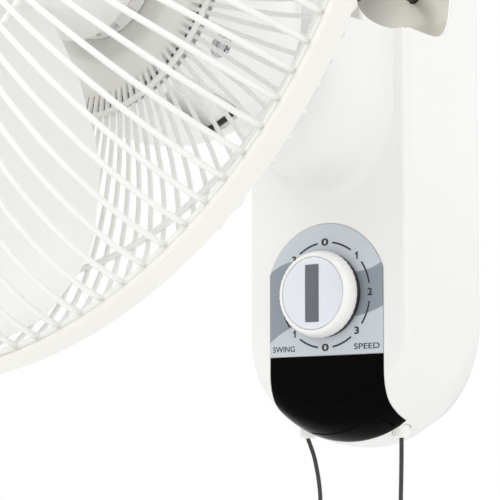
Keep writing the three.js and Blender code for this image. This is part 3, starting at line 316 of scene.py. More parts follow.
def painted_saddle_shade(colour):
    """Painted shade inside the saddle: a duller, warmer tone that stands in for the shade there, deeper towards
    the motor lead's far side.
    """
    def paint(tree, place, base):
        parts = node(tree, "ShaderNodeSeparateXYZ", Vector=place).outputs
        x, y, z = (math_node(tree, "MULTIPLY", part, 1000) for part in parts)
        behind = math_node(tree, "SUBTRACT", y, FRONT_Y, clamp=True)
        reach = math_node(tree, "MULTIPLY_ADD", behind, BASE_WIDTH / 2 - ARM_HALF_WIDTH, ARM_HALF_WIDTH - 1)
        edges = (math_node(tree, "SUBTRACT", reach, math_node(tree, "ABSOLUTE", x)),
                 math_node(tree, "SUBTRACT", y, SADDLE_FRONT_Y - 0.5),
                 math_node(tree, "SUBTRACT", SADDLE_REAR_Y + 0.5, y),
                 math_node(tree, "SUBTRACT", z, SADDLE_FLOOR - 1))
        inside = 1.0
        for edge in edges:
            inside = math_node(tree, "MULTIPLY", math_node(tree, "MULTIPLY", edge, 2, clamp=True), inside)
        # The painted shade grows darker towards the saddle's far side
        deeper_shade = math_node(tree, "MULTIPLY_ADD", x, -1 / 26, 0.85, clamp=True)
        return mixed(tree, inside, base, mixed(tree, deeper_shade, tint(colour, 1), tint(colour, 0.5)))
    return paint


def painted_braid_light(colour):
    """Crossing strands of a braided cord, with painted highlights on the strands and painted shade between them.
    """
    def paint(tree, place, base):
        parts = node(tree, "ShaderNodeSeparateXYZ", Vector=place).outputs
        turns = math_node(tree, "MULTIPLY", parts[2], 2600)
        side = math_node(tree, "MULTIPLY", math_node(tree, "ADD", parts[0], parts[1]), 2600)
        left = math_node(tree, "SINE", math_node(tree, "ADD", turns, side))
        right = math_node(tree, "SINE", math_node(tree, "SUBTRACT", turns, side))
        # Painted highlights on the strands' crowns and painted shade in the gaps between them
        cross = math_node(tree, "MULTIPLY_ADD", math_node(tree, "MAXIMUM", left, right), 0.5, 0.5, clamp=True)
        return mixed(tree, cross, tint(colour, 0.2), tint(colour, 4.2))
    return paint


FINISHES = {}


def make_finishes(colours):
    """Fills FINISHES from the colours."""
    steel, alloy, bronze = (0.50, 0.51, 0.52), (0.36, 0.37, 0.38), (0.46, 0.30, 0.10)
    table = {
        "body_gloss": dict(colour=colours.body, rough=0.3, coat=0.25, spread=0.012, patch=9, grain=420,
                           depth=0.000012, soft_edge=0.0011),
        # The housing's gloss, with painted shade inside the saddle
        "housing_gloss_painted_shade": dict(colour=colours.body, rough=0.3, coat=0.25, spread=0.012, patch=9, grain=420,
                              depth=0.000012, soft_edge=0.0011, paint=painted_saddle_shade(colours.saddle)),
        "body_plain": dict(colour=tuple(c * 1.05 for c in colours.body), rough=0.3, coat=0.15, spread=0.015,
                           patch=9, grain=600),
        "cream_satin": dict(colour=colours.cream, rough=0.36, spread=0.03, patch=14, grain=700, depth=0.00003),
        "blade_satin": dict(colour=tuple(c * 1.07 for c in colours.body), rough=0.32, coat=0.1, spread=0.02,
                            patch=12),
        "coated_wire": dict(colour=colours.wire, rough=0.34, spread=0.035, patch=30, grain=500, depth=0.00004),
        "trim_gloss": dict(colour=colours.trim, rough=0.07, spread=0.1, patch=12, grain=500, depth=0.000004,
                           soft_edge=0.0006, level=0.02),
        "label_print": dict(colour=colours.label, rough=0.42, spread=0.02, patch=25, grain=1500, depth=0.00001,
                            fine_spread=0.05, paint=label_band(colours)),
        "ink": dict(colour=colours.ink, rough=0.45, spread=0.1, patch=60, grain=1500),
        "knob_face": dict(colour=colours.face, rough=0.3, metal=0.25, spread=0.02, patch=20, grain=1800,
                          depth=0.00001, fine_spread=0.03),
        "pointer_inlay": dict(colour=colours.pointer, rough=0.45, spread=0.06, patch=60, grain=1600),
        "plated_steel": dict(colour=steel, rough=0.28, metal=0.9, spread=0.06, patch=40, grain=1200,
                             depth=0.00002, stretch=(1, 1, 0.15)),
        "dark_steel": dict(colour=(0.10, 0.10, 0.11), rough=0.42, metal=0.8, spread=0.1, patch=50, grain=1300),
        "sheet_stack": dict(colour=(0.13, 0.13, 0.14), rough=0.5, metal=0.7, spread=0.12, patch=60, grain=2200,
                            depth=0.0001, stretch=(0.05, 1, 0.05)),
        "cast_alloy": dict(colour=alloy, rough=0.5, metal=0.85, spread=0.1, patch=80, grain=900, depth=0.00008),
        "bronze": dict(colour=bronze, rough=0.38, metal=0.9, spread=0.08, patch=70, grain=1400),
        "winding": dict(colour=(0.36, 0.11, 0.04), rough=0.36, metal=0.6, spread=0.15, patch=70, grain=1500,
                        depth=0.00015, stretch=(1, 0.2, 1)),
        "black_moulded": dict(colour=(0.014, 0.014, 0.015), rough=0.48, spread=0.15, patch=60, grain=1100),
        "black_rubber": dict(colour=(0.013, 0.013, 0.013), rough=0.75, spread=0.2, patch=60, grain=1300,
                             depth=0.00005, sheen=0.15),
        "lead_sheath": dict(colour=colours.sheath, rough=0.55, spread=0.15, patch=90, grain=900, depth=0.00005),
        "braid": dict(colour=colours.cord, rough=0.7, spread=0.2, patch=200, grain=2500, depth=0.0001,
                      sheen=0.25, paint=painted_braid_light(colours.cord)),
    }
    for name, looks in table.items():
        FINISHES[name] = surface(name, **looks)


# ---------------------------------------------------------------- modelling helpers

def leave_edit():
    """Goes back to object mode."""
    if bpy.context.object and bpy.context.object.mode != "OBJECT":
        bpy.ops.object.mode_set(mode="OBJECT")


def only(*pieces):
    """Selects these objects and nothing else, the last one active."""
    leave_edit()
    bpy.ops.object.select_all(action="DESELECT")
    for piece in pieces:
        piece.select_set(True)
    bpy.context.view_layer.objects.active = pieces[-1]


def fresh(name):
    """Names the primitive that was just added."""
    piece = bpy.context.object
    piece.name = name
    piece.data.name = name
    return piece


def settle(piece):
    """Moves the piece's place into its mesh."""
    only(piece)
    bpy.ops.object.transform_apply(location=True, rotation=True, scale=True)
    return piece


def clean(piece):
    """Merges doubled vertices and turns the faces outwards."""
    only(piece)
    bpy.ops.object.mode_set(mode="EDIT")
    bpy.ops.mesh.select_all(action="SELECT")
    bpy.ops.mesh.remove_doubles(threshold=1e-6)
    bpy.ops.mesh.normals_make_consistent(inside=False)
    leave_edit()
    return piece


def smooth(piece, degrees=38):
    """Shades smooth, with edges sharper than the angle kept."""
    only(piece)
    bpy.ops.object.shade_smooth_by_angle(angle=math.radians(degrees))
    return piece


def apply_modifier(piece, kind, **settings):
    """Adds a modifier with these settings and applies it."""
    only(piece)
    modifier = piece.modifiers.new(kind.lower(), kind)
    for name, value in settings.items():
        setattr(modifier, name, value)
    bpy.ops.object.modifier_apply(modifier=modifier.name)
    return piece


def soften(piece, width=0.6, segments=3, degrees=32):
    """Rounds the edges that are sharper than an angle."""
    return apply_modifier(piece, "BEVEL", width=width * MM, segments=segments, limit_method="ANGLE",
                          angle_limit=math.radians(degrees), harden_normals=False)


def carve(piece, *tools, operation="DIFFERENCE"):
    """Cuts, joins or clips the piece with tools that are used up."""
    for tool in tools:
        apply_modifier(piece, "BOOLEAN", operation=operation, object=tool, solver="EXACT")
        bpy.data.objects.remove(tool)
    return piece


def gathered(name, pieces):
    """One object from several loose ones."""
    only(*pieces)
    bpy.ops.object.join()
    return rename(bpy.context.object, name)


def rename(piece, name):
    """Names an object and its mesh."""
    piece.name = name
    piece.data.name = name
    return piece


def placed(piece, matrix):
    """Moves a piece and settles it there."""
    piece.matrix_world = matrix @ piece.matrix_world
    return settle(piece)


def block(name, low, high):
    """A box between two corners."""
    bpy.ops.mesh.primitive_cube_add(size=1)
    piece = fresh(name)
    piece.location = [(a + b) / 2 * MM for a, b in zip(low, high)]
    piece.scale = [abs(b - a) * MM for a, b in zip(low, high)]
    return settle(piece)


def rod(name, axis, radius, start, end, first, second, sides=48):
    """A round rod along an axis: first and second are its place on the other two."""
    bpy.ops.mesh.primitive_cone_add(vertices=sides, radius1=radius * MM, radius2=radius * MM,
                                    depth=(end - start) * MM)
    piece = fresh(name)
    middle = (start + end) / 2
    turn = {"X": Matrix.Rotation(math.pi / 2, 4, "Y"), "Y": Matrix.Rotation(-math.pi / 2, 4, "X"),
            "Z": Matrix()}[axis]
    spot = {"X": (middle, first, second), "Y": (first, middle, second), "Z": (first, second, middle)}[axis]
    return placed(piece, at(*spot) @ turn)


def ring_start(name, points):
    """A loop of vertices at these points, left in edit mode and selected."""
    bpy.ops.mesh.primitive_circle_add(vertices=len(points), radius=1)
    piece = fresh(name)
    bpy.ops.object.mode_set(mode="EDIT")
    mesh = bmesh.from_edit_mesh(piece.data)
    order = mesh.verts.layers.int.new("order")
    mesh.verts.ensure_lookup_table()
    for index, (vertex, point) in enumerate(zip(mesh.verts, points)):
        vertex.co = Vector(point) * MM
        vertex[order] = index
    bmesh.update_edit_mesh(piece.data)
    return piece


def cap_open_edges():
    """Fills the open ends of the skin that is being edited."""
    bpy.ops.mesh.select_mode(type="EDGE")
    bpy.ops.mesh.select_all(action="DESELECT")
    bpy.ops.mesh.select_non_manifold(extend=False, use_wire=False, use_boundary=True, use_multi_face=False,
                                     use_non_contiguous=False, use_verts=False)
    bpy.ops.mesh.edge_face_add()
    bpy.ops.mesh.select_mode(type="VERT")


def drop_order(piece):
    """Leaves edit mode and drops the layer that numbered the vertices."""
    leave_edit()
    piece.data.attributes.remove(piece.data.attributes["order"])
    return piece


def loft(name, sections):
    """A closed skin drawn out from the first section through the rest."""
    piece = ring_start(name, sections[0])
    for section in sections[1:]:
        bpy.ops.mesh.extrude_edges_indiv()
        mesh = bmesh.from_edit_mesh(piece.data)
        order = mesh.verts.layers.int["order"]
        for vertex in mesh.verts:
            if vertex.select:
                vertex.co = Vector(section[vertex[order]]) * MM
        bmesh.update_edit_mesh(piece.data)
    bpy.ops.mesh.edge_face_add()
    cap_open_edges()
    drop_order(piece)
    return clean(piece)


def prism(name, plane, points, start, end):
    """An outline pushed along the axis that the plane leaves out."""
    lift = {"YZ": lambda p, d: (d, p[0], p[1]), "XZ": lambda p, d: (p[0], d, p[1])}[plane]
    return loft(name, [[lift(p, d) for p in points] for d in (start, end)])


def turned(name, profile, sides=96, sweep=360.0, start=0.0):
    """A profile of (radius, place along Y) spun about the Y axis."""
    lean = math.radians(start)
    piece = ring_start(name, [(r * math.cos(lean), y, -r * math.sin(lean)) for r, y in profile])
    bpy.ops.mesh.select_all(action="SELECT")
    bpy.ops.mesh.spin(steps=sides, angle=math.radians(sweep), center=(0, 0, 0), axis=(0, 1, 0))
    if sweep < 360:
        cap_open_edges()
    drop_order(piece)
    return clean(piece)


def from_y(y, profile):
    """A profile of (radius, place along Y) that is counted from y."""
    return [(radius, y + along) for radius, along in profile]


def repeated(piece, count):
    """Copies of the piece round the Y axis, in the same mesh."""
    only(piece)
    bpy.ops.object.mode_set(mode="EDIT")
    bpy.ops.mesh.select_all(action="SELECT")
    bpy.ops.mesh.spin(steps=count - 1, dupli=True, angle=2 * math.pi / count * (count - 1), center=(0, 0, 0),
                      axis=(0, 1, 0))
    leave_edit()
    return piece


def smooth_route(points, per=6):
    """Points along a smooth line through the given ones."""
    ends = [Vector(points[0]) * 2 - Vector(points[1]), *map(Vector, points),
            Vector(points[-1]) * 2 - Vector(points[-2])]
    line = []
    for a, b, c, d in zip(ends, ends[1:], ends[2:], ends[3:]):
        for k in range(per):
            t = k / per
            bend = (2 * a - 5 * b + 4 * c - d) * t * t + (3 * b - a - 3 * c + d) * t ** 3
            line.append(0.5 * (2 * b + (c - a) * t + bend))
    return [*line, ends[-2]]


def wire(name, points, radius, sides=8, mesh=True):
    """A round wire along points, as a curve or a mesh."""
    bpy.ops.curve.primitive_nurbs_path_add()
    piece = fresh(name)
    line = piece.data
    line.splines.clear()
    spline = line.splines.new("POLY")
    spline.points.add(len(points) - 1)
    for spot, point in zip(spline.points, points):
        spot.co = (*(Vector(point) * MM), 1)
    spline.use_smooth = True
    line.bevel_depth = radius * MM
    line.bevel_resolution = max(0, sides // 4 - 1) * 2
    line.use_fill_caps = True
    line.use_path = False
    if mesh:
        only(piece)
        bpy.ops.object.convert(target="MESH")
        piece = clean(bpy.context.object)
    return piece


def hoop(radius, wire_radius, y, sides=144, section=10):
    """A ring of round wire about the Y axis."""
    profile = [(radius + wire_radius * math.cos(2 * math.pi * k / section),
                y + wire_radius * math.sin(2 * math.pi * k / section)) for k in range(section)]
    return turned("hoop", profile, sides)


def show(piece, body, finish, slot, *nodes, matrix=None, degrees=38):
    """Places, dresses and hands over a finished piece."""
    if matrix is not None:
        placed(piece, matrix)
    if piece.type == "MESH":
        smooth(piece, degrees)
    piece.data.materials.clear()
    piece.data.materials.append(FINISHES[finish])
    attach(piece, body)
    if nodes:
        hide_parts(*nodes)
    return piece


# ---------------------------------------------------------------- housing shapes

def outline(half, bottom, rise, top, corner, steps=36, corner_steps=8):
    """A closed outline as [x, z], round at the bottom, with round top corners."""
    points = []
    for i in range(steps + 1):
        angle = math.pi * (1 + i / steps)
        points.append((half * math.cos(angle), bottom + rise * (1 + math.sin(angle))))
    for side in (0, 1):
        middle = (half - corner) * (1 - 2 * side)
        for i in range(corner_steps + 1):
            angle = math.pi / 2 * (side + i / corner_steps)
            points.append((middle + corner * math.cos(angle), top - corner + corner * math.sin(angle)))
    return points


def at_depth(points, y):
    """A flat outline at a place along Y."""
    return [(x, y, z) for x, z in points]


def fillet_share(distance, reach):
    """Share of a quarter round that is left at a distance from its start."""
    return 1 - math.sqrt(1 - max(0.0, 1 - distance / reach) ** 2)


def column_outline(depth, drawn):
    """The column's outline at a depth behind the front face, drawn in all round."""
    near, far = fillet_share(depth, KEEL_DEPTH), max(0.0, (depth - KEEL_DEPTH) / (BASE_DEPTH - KEEL_DEPTH))
    bottom = BASE_BOTTOM + FRONT_LIFT * near + REAR_LIFT * far
    rise = BOTTOM_RISE + (FRONT_RISE - BOTTOM_RISE) * near + (REAR_RISE - BOTTOM_RISE) * far
    return outline(BASE_WIDTH / 2 - drawn, bottom + drawn, rise - drawn, BASE_TOP - drawn, TOP_CORNER)


def column_block(name, inset, edge_steps=8, keel_steps=16):
    """The tall box from the wall to the flat front face."""
    edge = [EDGE_DEPTH * (1 - math.cos(math.pi / 2 * i / edge_steps)) for i in range(edge_steps + 1)]
    keel = [KEEL_DEPTH * i / keel_steps for i in range(3, keel_steps + 1)]
    sections = [at_depth(column_outline(depth, inset + EDGE_ROUND * fillet_share(depth, EDGE_DEPTH)),
                         FRONT_Y + inset + depth) for depth in (*edge, *keel)]
    rear_y = REAR_RIM_Y + (WALL if inset >= WALL else 0)
    sections.append(at_depth(column_outline(REAR_RIM_Y - FRONT_Y, inset), rear_y))
    return loft(name, sections)


def arm_section(t, inset):
    """The arm's upright outline at a turn of its quarter sweep, with the fillet at its root."""
    reach = ARM_REACH * math.sin(t)
    rise = 65 * (1 - math.cos(t)) ** 1.15
    drop = 22 * (1 - math.cos(t)) ** 3
    flare = fillet_share(reach, CHIN_FLARE)
    half = ARM_HALF_WIDTH * (0.62 + 0.38 * max(0.0, math.cos(t)) ** 0.55) + SIDE_FLARE * flare
    points = outline(half - inset, ARM_BOTTOM + rise - CHIN_FLARE * flare + inset,
                     half + CHIN_FLARE * flare - inset, ARM_TOP - drop - inset, ARM_CORNER - inset)
    return at_depth(points, FRONT_Y - reach + inset)


def arm_block(name, inset, steps=18):
    """The arm, drawn forward from the flat front face."""
    fillet = [math.asin(share * CHIN_FLARE / ARM_REACH) for share in (0, 0.03, 0.08, 0.16, 0.27, 0.4, 0.57, 0.76)]
    even = [math.pi / 2 * i / steps for i in range(3, steps + 1)]
    sections = [arm_section(t, inset) for t in [*fillet, *even]]
    root = [(x, FRONT_Y + EDGE_DEPTH, z) for x, y, z in sections[0]]
    return loft(name, [root, *sections])


def saddle_cutter(grow):
    """The trough that is cut across the top between column and cheeks."""
    middle = (SADDLE_REAR_Y + SADDLE_FRONT_Y) / 2
    half = (SADDLE_REAR_Y - SADDLE_FRONT_Y) / 2 + grow
    points = []
    for i in range(33):
        angle = math.pi * (1 + i / 32)
        across = math.copysign(abs(math.cos(angle)) ** 0.4, math.cos(angle))
        down = abs(math.sin(angle)) ** 0.4
        points.append((middle + half * across, SADDLE_FLOOR - grow + SADDLE_RISE * (1 - down)))
    return prism("saddle_cutter", "YZ", points, -BASE_WIDTH, BASE_WIDTH)


def housing_block(name, inset):
    """Column and arm with the saddle cut, drawn in by a margin."""
    body = carve(column_block(name, inset), arm_block("arm", inset), operation="UNION")
    return carve(body, saddle_cutter(inset))


def trim_region(half_width):
    """The box that the dark trim fills at the lower front."""
    return block("trim_region", (-half_width, FRONT_Y - 8, BASE_BOTTOM - 8),
                 (half_width, FRONT_Y + TRIM_REACH_BACK, TRIM_TOP))


def label_outline(margin, steps=40):
    """The label: flat at the bottom, with a round top."""
    half, radius = LABEL_HALF_WIDTH + margin, LABEL_R + margin
    start = math.acos(half / radius)
    points = [(half, DIAL_Z - LABEL_DROP - margin)]
    for i in range(steps + 1):
        angle = start + (math.pi - 2 * start) * i / steps
        points.append((radius * math.cos(angle), DIAL_Z + radius * math.sin(angle)))
    return [*points, (-half, DIAL_Z - LABEL_DROP - margin)]


def cord_holes():
    """Cutters for the two holes that the cords leave by."""
    low, high = BASE_BOTTOM - 5, BASE_BOTTOM + 40
    return [rod("cord_hole", "Z", CORD_HOLE_R, low, high, side * CORD_X, CORD_Y) for side in CORD_SIDES.values()]


class FAN_OT_housing(Operator):
    """Base housing with its arm, saddle, cheeks and recesses"""
    bl_idname = "wall_fan.housing"
    bl_label = "Base housing"

    def execute(self, context):
        outer = housing_block("housing", 0)
        hollow = housing_block("hollow", WALL)
        cheeks = block("cheeks", (-BASE_WIDTH, ARM_FRONT_Y - WALL, SADDLE_FLOOR - 6),
                       (BASE_WIDTH, SADDLE_FRONT_Y + WALL, ARM_TOP + WALL))
        carve(outer, carve(hollow, cheeks))
        slot = soften(block("neck_slot", (-14.5, ARM_FRONT_Y - 10, HINGE_Z - 15),
                            (14.5, SADDLE_FRONT_Y + 6, ARM_TOP + 10)), 2.5, 4)
        pin_hole = rod("pin_hole", "X", HINGE_R + GAP, -BASE_WIDTH, BASE_WIDTH, HINGE_Y, HINGE_Z)
        pockets = [rod("pin_pocket", "X", 5.5, *ends, HINGE_Y, HINGE_Z) for ends in ((33, 55), (-55, -33))]
        pocket = carve(trim_region(LABEL_HALF_WIDTH + GAP), housing_block("inner", TRIM_SHEET + GAP))
        recess = prism("label_recess", "XZ", label_outline(GAP), FRONT_Y - 5, FRONT_Y + 0.4)
        spindle = rod("spindle_hole", "Y", SPINDLE_HOLE_R, FRONT_Y - 5, FRONT_Y + 8, 0, DIAL_Z)
        leads = [rod("lead_hole", "Y", LEAD_R + 0.6, *ends, LEAD_X, LEAD_END_Z, 32)
                 for ends in ((SADDLE_REAR_Y - 3, SADDLE_REAR_Y + 5), (SADDLE_FRONT_Y - 6, SADDLE_FRONT_Y + 4))]
        carve(outer, slot, pin_hole, *pockets, pocket, recess, spindle, *cord_holes(), *leads)
        show(outer, "base", "housing_gloss_painted_shade", "white_gloss", "base_housing", degrees=30)
        return {"FINISHED"}


class FAN_OT_lower_trim(Operator):
    """Dark glossy trim that wraps under the base"""
    bl_idname = "wall_fan.lower_trim"
    bl_label = "Lower trim"

    def execute(self, context):
        skin = carve(housing_block("trim", 0), housing_block("trim_inner", TRIM_SHEET))
        trim = carve(skin, trim_region(LABEL_HALF_WIDTH), operation="INTERSECT")
        carve(trim, *cord_holes())
        show(trim, "base", "trim_gloss", "black_gloss", "bottom_trim", degrees=30)
        return {"FINISHED"}


# ---------------------------------------------------------------- dial

def lettering(words, height, width, x, z, weight):
    """Raised print of one word, drawn out to a width and standing on the label's face."""
    bpy.ops.object.text_add()
    piece = fresh("lettering")
    piece.data.body = words
    piece.data.size = height / 0.7
    piece.data.align_x = "CENTER"
    piece.data.align_y = "CENTER"
    piece.data.offset = weight
    piece.data.extrude = 0.00004
    only(piece)
    bpy.ops.object.convert(target="MESH")
    piece = bpy.context.object
    size = piece.dimensions
    stand = at(x, LABEL_FACE_Y - PRINT_STAND, z) @ Y_TO_Z
    return placed(piece, stand @ Matrix.Diagonal((width * MM / size.x, height / size.y, 1, 1)))


# Numerals and their widths, round the dial
DIAL_MARKS = (("0", 4.9), ("1", 1.9), ("2", 3.2), ("3", 3.2)) * 2
NUMERAL_WEIGHT, WORD_WEIGHT = 0.00022, 0.00005
# Words, with width, height and place across the label
LABEL_WORDS = (("SWING", 15.8, 3.4, -29.4), ("SPEED", 17.4, 3.35, 28.6))
WORDS_DROP = 31
STROKE_HALF, STROKE_SWEEP, STROKE_START = 0.55, 26, 35.5
# The numeral 1 about its middle, at the height that follows
ONE_HEIGHT = 4.4
ONE_SHAPE = ((-0.1, -2.2), (0.95, -2.2), (0.95, 2.2), (0.2, 2.2), (-0.3, 1.5), (-0.95, 1.05), (-0.95, 0.15),
             (-0.1, 0.6))


class FAN_OT_dial_label(Operator):
    """Label with its numerals, strokes and words"""
    bl_idname = "wall_fan.dial_label"
    bl_label = "Dial label"

    def execute(self, context):
        sizes = context.scene.fan_sizes
        label = prism("label", "XZ", label_outline(0), LABEL_FACE_Y, LABEL_FACE_Y + 0.5)
        carve(label, rod("label_hole", "Y", SPINDLE_HOLE_R, FRONT_Y - 5, FRONT_Y + 5, 0, DIAL_Z))
        soften(label, 0.15, 2)
        show(label, "base", "label_print", "label", "dial_label", degrees=30)
        marks = []
        for step, (words, width) in enumerate(DIAL_MARKS):
            turn = math.radians(45 * step)
            x, z = PRINT_R * math.sin(turn), DIAL_Z + PRINT_R * math.cos(turn)
            if words == "1":
                scale = sizes.print_height / MM / ONE_HEIGHT
                flat = [(x + scale * a, z + scale * b) for a, b in ONE_SHAPE]
                marks.append(prism("numeral", "XZ", flat, LABEL_FACE_Y - 0.07, LABEL_FACE_Y + 0.01))
            else:
                marks.append(lettering(words, sizes.print_height, width, x, z, NUMERAL_WEIGHT))
        face = LABEL_FACE_Y - PRINT_STAND
        inner, outer = PRINT_R - STROKE_HALF, PRINT_R + STROKE_HALF
        for step in range(8):
            stroke = turned("stroke", [(inner, face), (outer, face), (outer, face + 0.1), (inner, face + 0.1)],
                            14, STROKE_SWEEP, 45 * step + STROKE_START)
            stroke.data.transform(at(0, 0, DIAL_Z))
            marks.append(stroke)
        for words, width, height, x in LABEL_WORDS:
            marks.append(lettering(words, height * MM, width, x, DIAL_Z - WORDS_DROP, WORD_WEIGHT))
        show(gathered("label_printing", marks), "base", "ink", "label")
        return {"FINISHED"}


class FAN_OT_knob(Operator):
    """Dial knob with grip hollows, silver face and pointer"""
    bl_idname = "wall_fan.knob"
    bl_label = "Dial knob"

    def execute(self, context):
        sizes = context.scene.fan_sizes
        rear, front = KNOB_REAR_Y - 3.6, KNOB_FRONT_Y
        seat = front + 1.35
        body = turned("knob_body", [(3.3, rear), (25, rear), (25.5, rear - 0.5), (25.3, rear - 3),
                                    (24.6, front + 3.4), (24.1, front + 1.9), (23.4, front + 0.8),
                                    (22.7, front + 0.25), (22, front), (21.6, front + 0.1), (21.3, front + 0.5),
                                    (21.3, seat), (3.3, seat)], sizes.knob_scallops * 8)
        for vertex in body.data.vertices:
            x, z = vertex.co.x, vertex.co.z
            radius = math.hypot(x, z)
            if radius > GRIP_START_R * MM and (front + 0.2) * MM < vertex.co.y < (rear - 0.4) * MM:
                wave = 0.5 + 0.5 * math.cos(sizes.knob_scallops * math.atan2(z, x))
                share = 1 - GRIP_DEPTH * MM * wave ** 2 / radius
                vertex.co.x, vertex.co.z = x * share, z * share
        lift = at(0, 0, DIAL_Z)
        show(body, "knob", "body_plain", "white_gloss", "knob", matrix=lift, degrees=60)
        # Painted shadow: a black ring behind the knob stands in for the shadow in the gap under the knob's rear
        shadow_skirt = turned("knob_shadow_skirt", [(3.3, KNOB_REAR_Y), (24.7, KNOB_REAR_Y), (25, KNOB_REAR_Y - 0.3),
                                      (25, rear + 0.05), (3.3, rear + 0.05)], 96)
        show(shadow_skirt, "knob", "black_moulded", "black_plastic", "knob", matrix=lift)
        face = turned("knob_face", from_y(front, [(0.01, 0.1), (12, 0.12), (20, 0.3), (20.8, 0.55), (21, 0.9),
                    (21, 1.2), (0.01, 1.2)]), 96)
        groove = soften(block("groove", (-4.8, front - 1, -16.8), (4.8, front + 0.75, 16.8)), 0.5, 2)
        show(carve(face, groove), "knob", "knob_face", "silver_face", "knob_cap", matrix=lift)
        pointer = soften(block("pointer", (-4.5, front, -16.5), (4.5, front + 0.6, 16.5)), 0.45, 3)
        show(pointer, "knob", "pointer_inlay", "grey_plastic", "knob_pointer", matrix=lift)
        return {"FINISHED"}


# ---------------------------------------------------------------- cords and springs


class FAN_OT_pull_cords(Operator):
    """Two braided pull cords with their handles and ferrules"""
    bl_idname = "wall_fan.pull_cords"
    bl_label = "Pull cords"

    def execute(self, context):
        diameter = context.scene.fan_sizes.cord_diameter
        for name, side in CORD_SIDES.items():
            body = f"{name}_pull"
            route = [(side * (CORD_X - inward), CORD_Y, CORD_EXIT_Z - drop) for inward, drop in CORD_BENDS[name]]
            handle = turned(f"{name}_pull_handle", [(0.01, -24), (2.4, -24), (3.4, -23.6), (4.2, -22.6),
                    (4.55, -21.2), (4.5, -19.6), (3.9, -19.2), (3.9, -18.6), (4.45, -18.2), (4.3, -16),
                    (3.7, -15.6), (3.7, -15), (4.2, -14.6), (3.6, -9), (2.9, -5), (2.4, -2), (2.0, -0.5),
                    (1.4, -0.3), (0.01, -0.3)], 40)
            show(handle, body, "body_plain", "white_gloss", f"{name}_handle", matrix=at(*route[-1]) @ Y_TO_Z)
            points = smooth_route(route, 7)
            cord = wire(f"{name}_pull_cord", points, diameter / 2 / MM, 12, mesh=False)
            show(cord, body, "braid", "braid", f"{name}_cord")
            low, top = CORD_EXIT_Z - 4, BUSH_TOP
            ferrule = turned(f"{name}_ferrule", [(1.9, low + 0.4), (2.4, low), (4.2, low), (5, low + 0.8),
                    (5, top - 0.4), (4.7, top), (2.2, top), (1.9, top - 0.4)], 48)
            show(ferrule, "base", "body_plain", "white_gloss", f"{name}_bush",
                 matrix=at(side * CORD_X, CORD_Y, 0) @ Y_TO_Z)
        return {"FINISHED"}


class FAN_OT_return_springs(Operator):
    """Return springs on the pull rods"""
    bl_idname = "wall_fan.return_springs"
    bl_label = "Return springs"

    def execute(self, context):
        low, high, turns = BUSH_TOP + 0.7, -101.7, 9
        for name, side in CORD_SIDES.items():
            x = side * CORD_X
            line = []
            for k in range(turns * 16 + 1):
                angle = 2 * math.pi * k / 16
                share = k / (turns * 16)
                rise = share * share * (3 - 2 * share) * 0.35 + share * 0.65
                line.append((x + 3.5 * math.cos(angle), CORD_Y + 3.5 * math.sin(angle),
                             low + (high - low) * rise))
            spring = wire(f"{name}_return_spring", line, 0.4, 8)
            show(spring, "base", "plated_steel", "zinc_steel", f"{name}_spring")
            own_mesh(spring)
        return {"FINISHED"}


class FAN_OT_motor_lead(Operator):
    """Lead that loops over the saddle"""
    bl_idname = "wall_fan.motor_lead"
    bl_label = "Motor lead"

    def execute(self, context):
        bends = ((-5, 0), (3, -1.5), (11, -9), (19, -16), (28, -13), (42, -5), (62, 0),
                 (SADDLE_REAR_Y + 4 - SADDLE_FRONT_Y, 0))
        route = [(LEAD_X, SADDLE_FRONT_Y + back, LEAD_END_Z + up) for back, up in bends]
        lead = wire("motor_lead_loop", smooth_route(route, 8), LEAD_R, 16)
        show(lead, "base", "lead_sheath", "brown_rubber", "motor_lead", degrees=60)
        return {"FINISHED"}


# ---------------------------------------------------------------- wall side

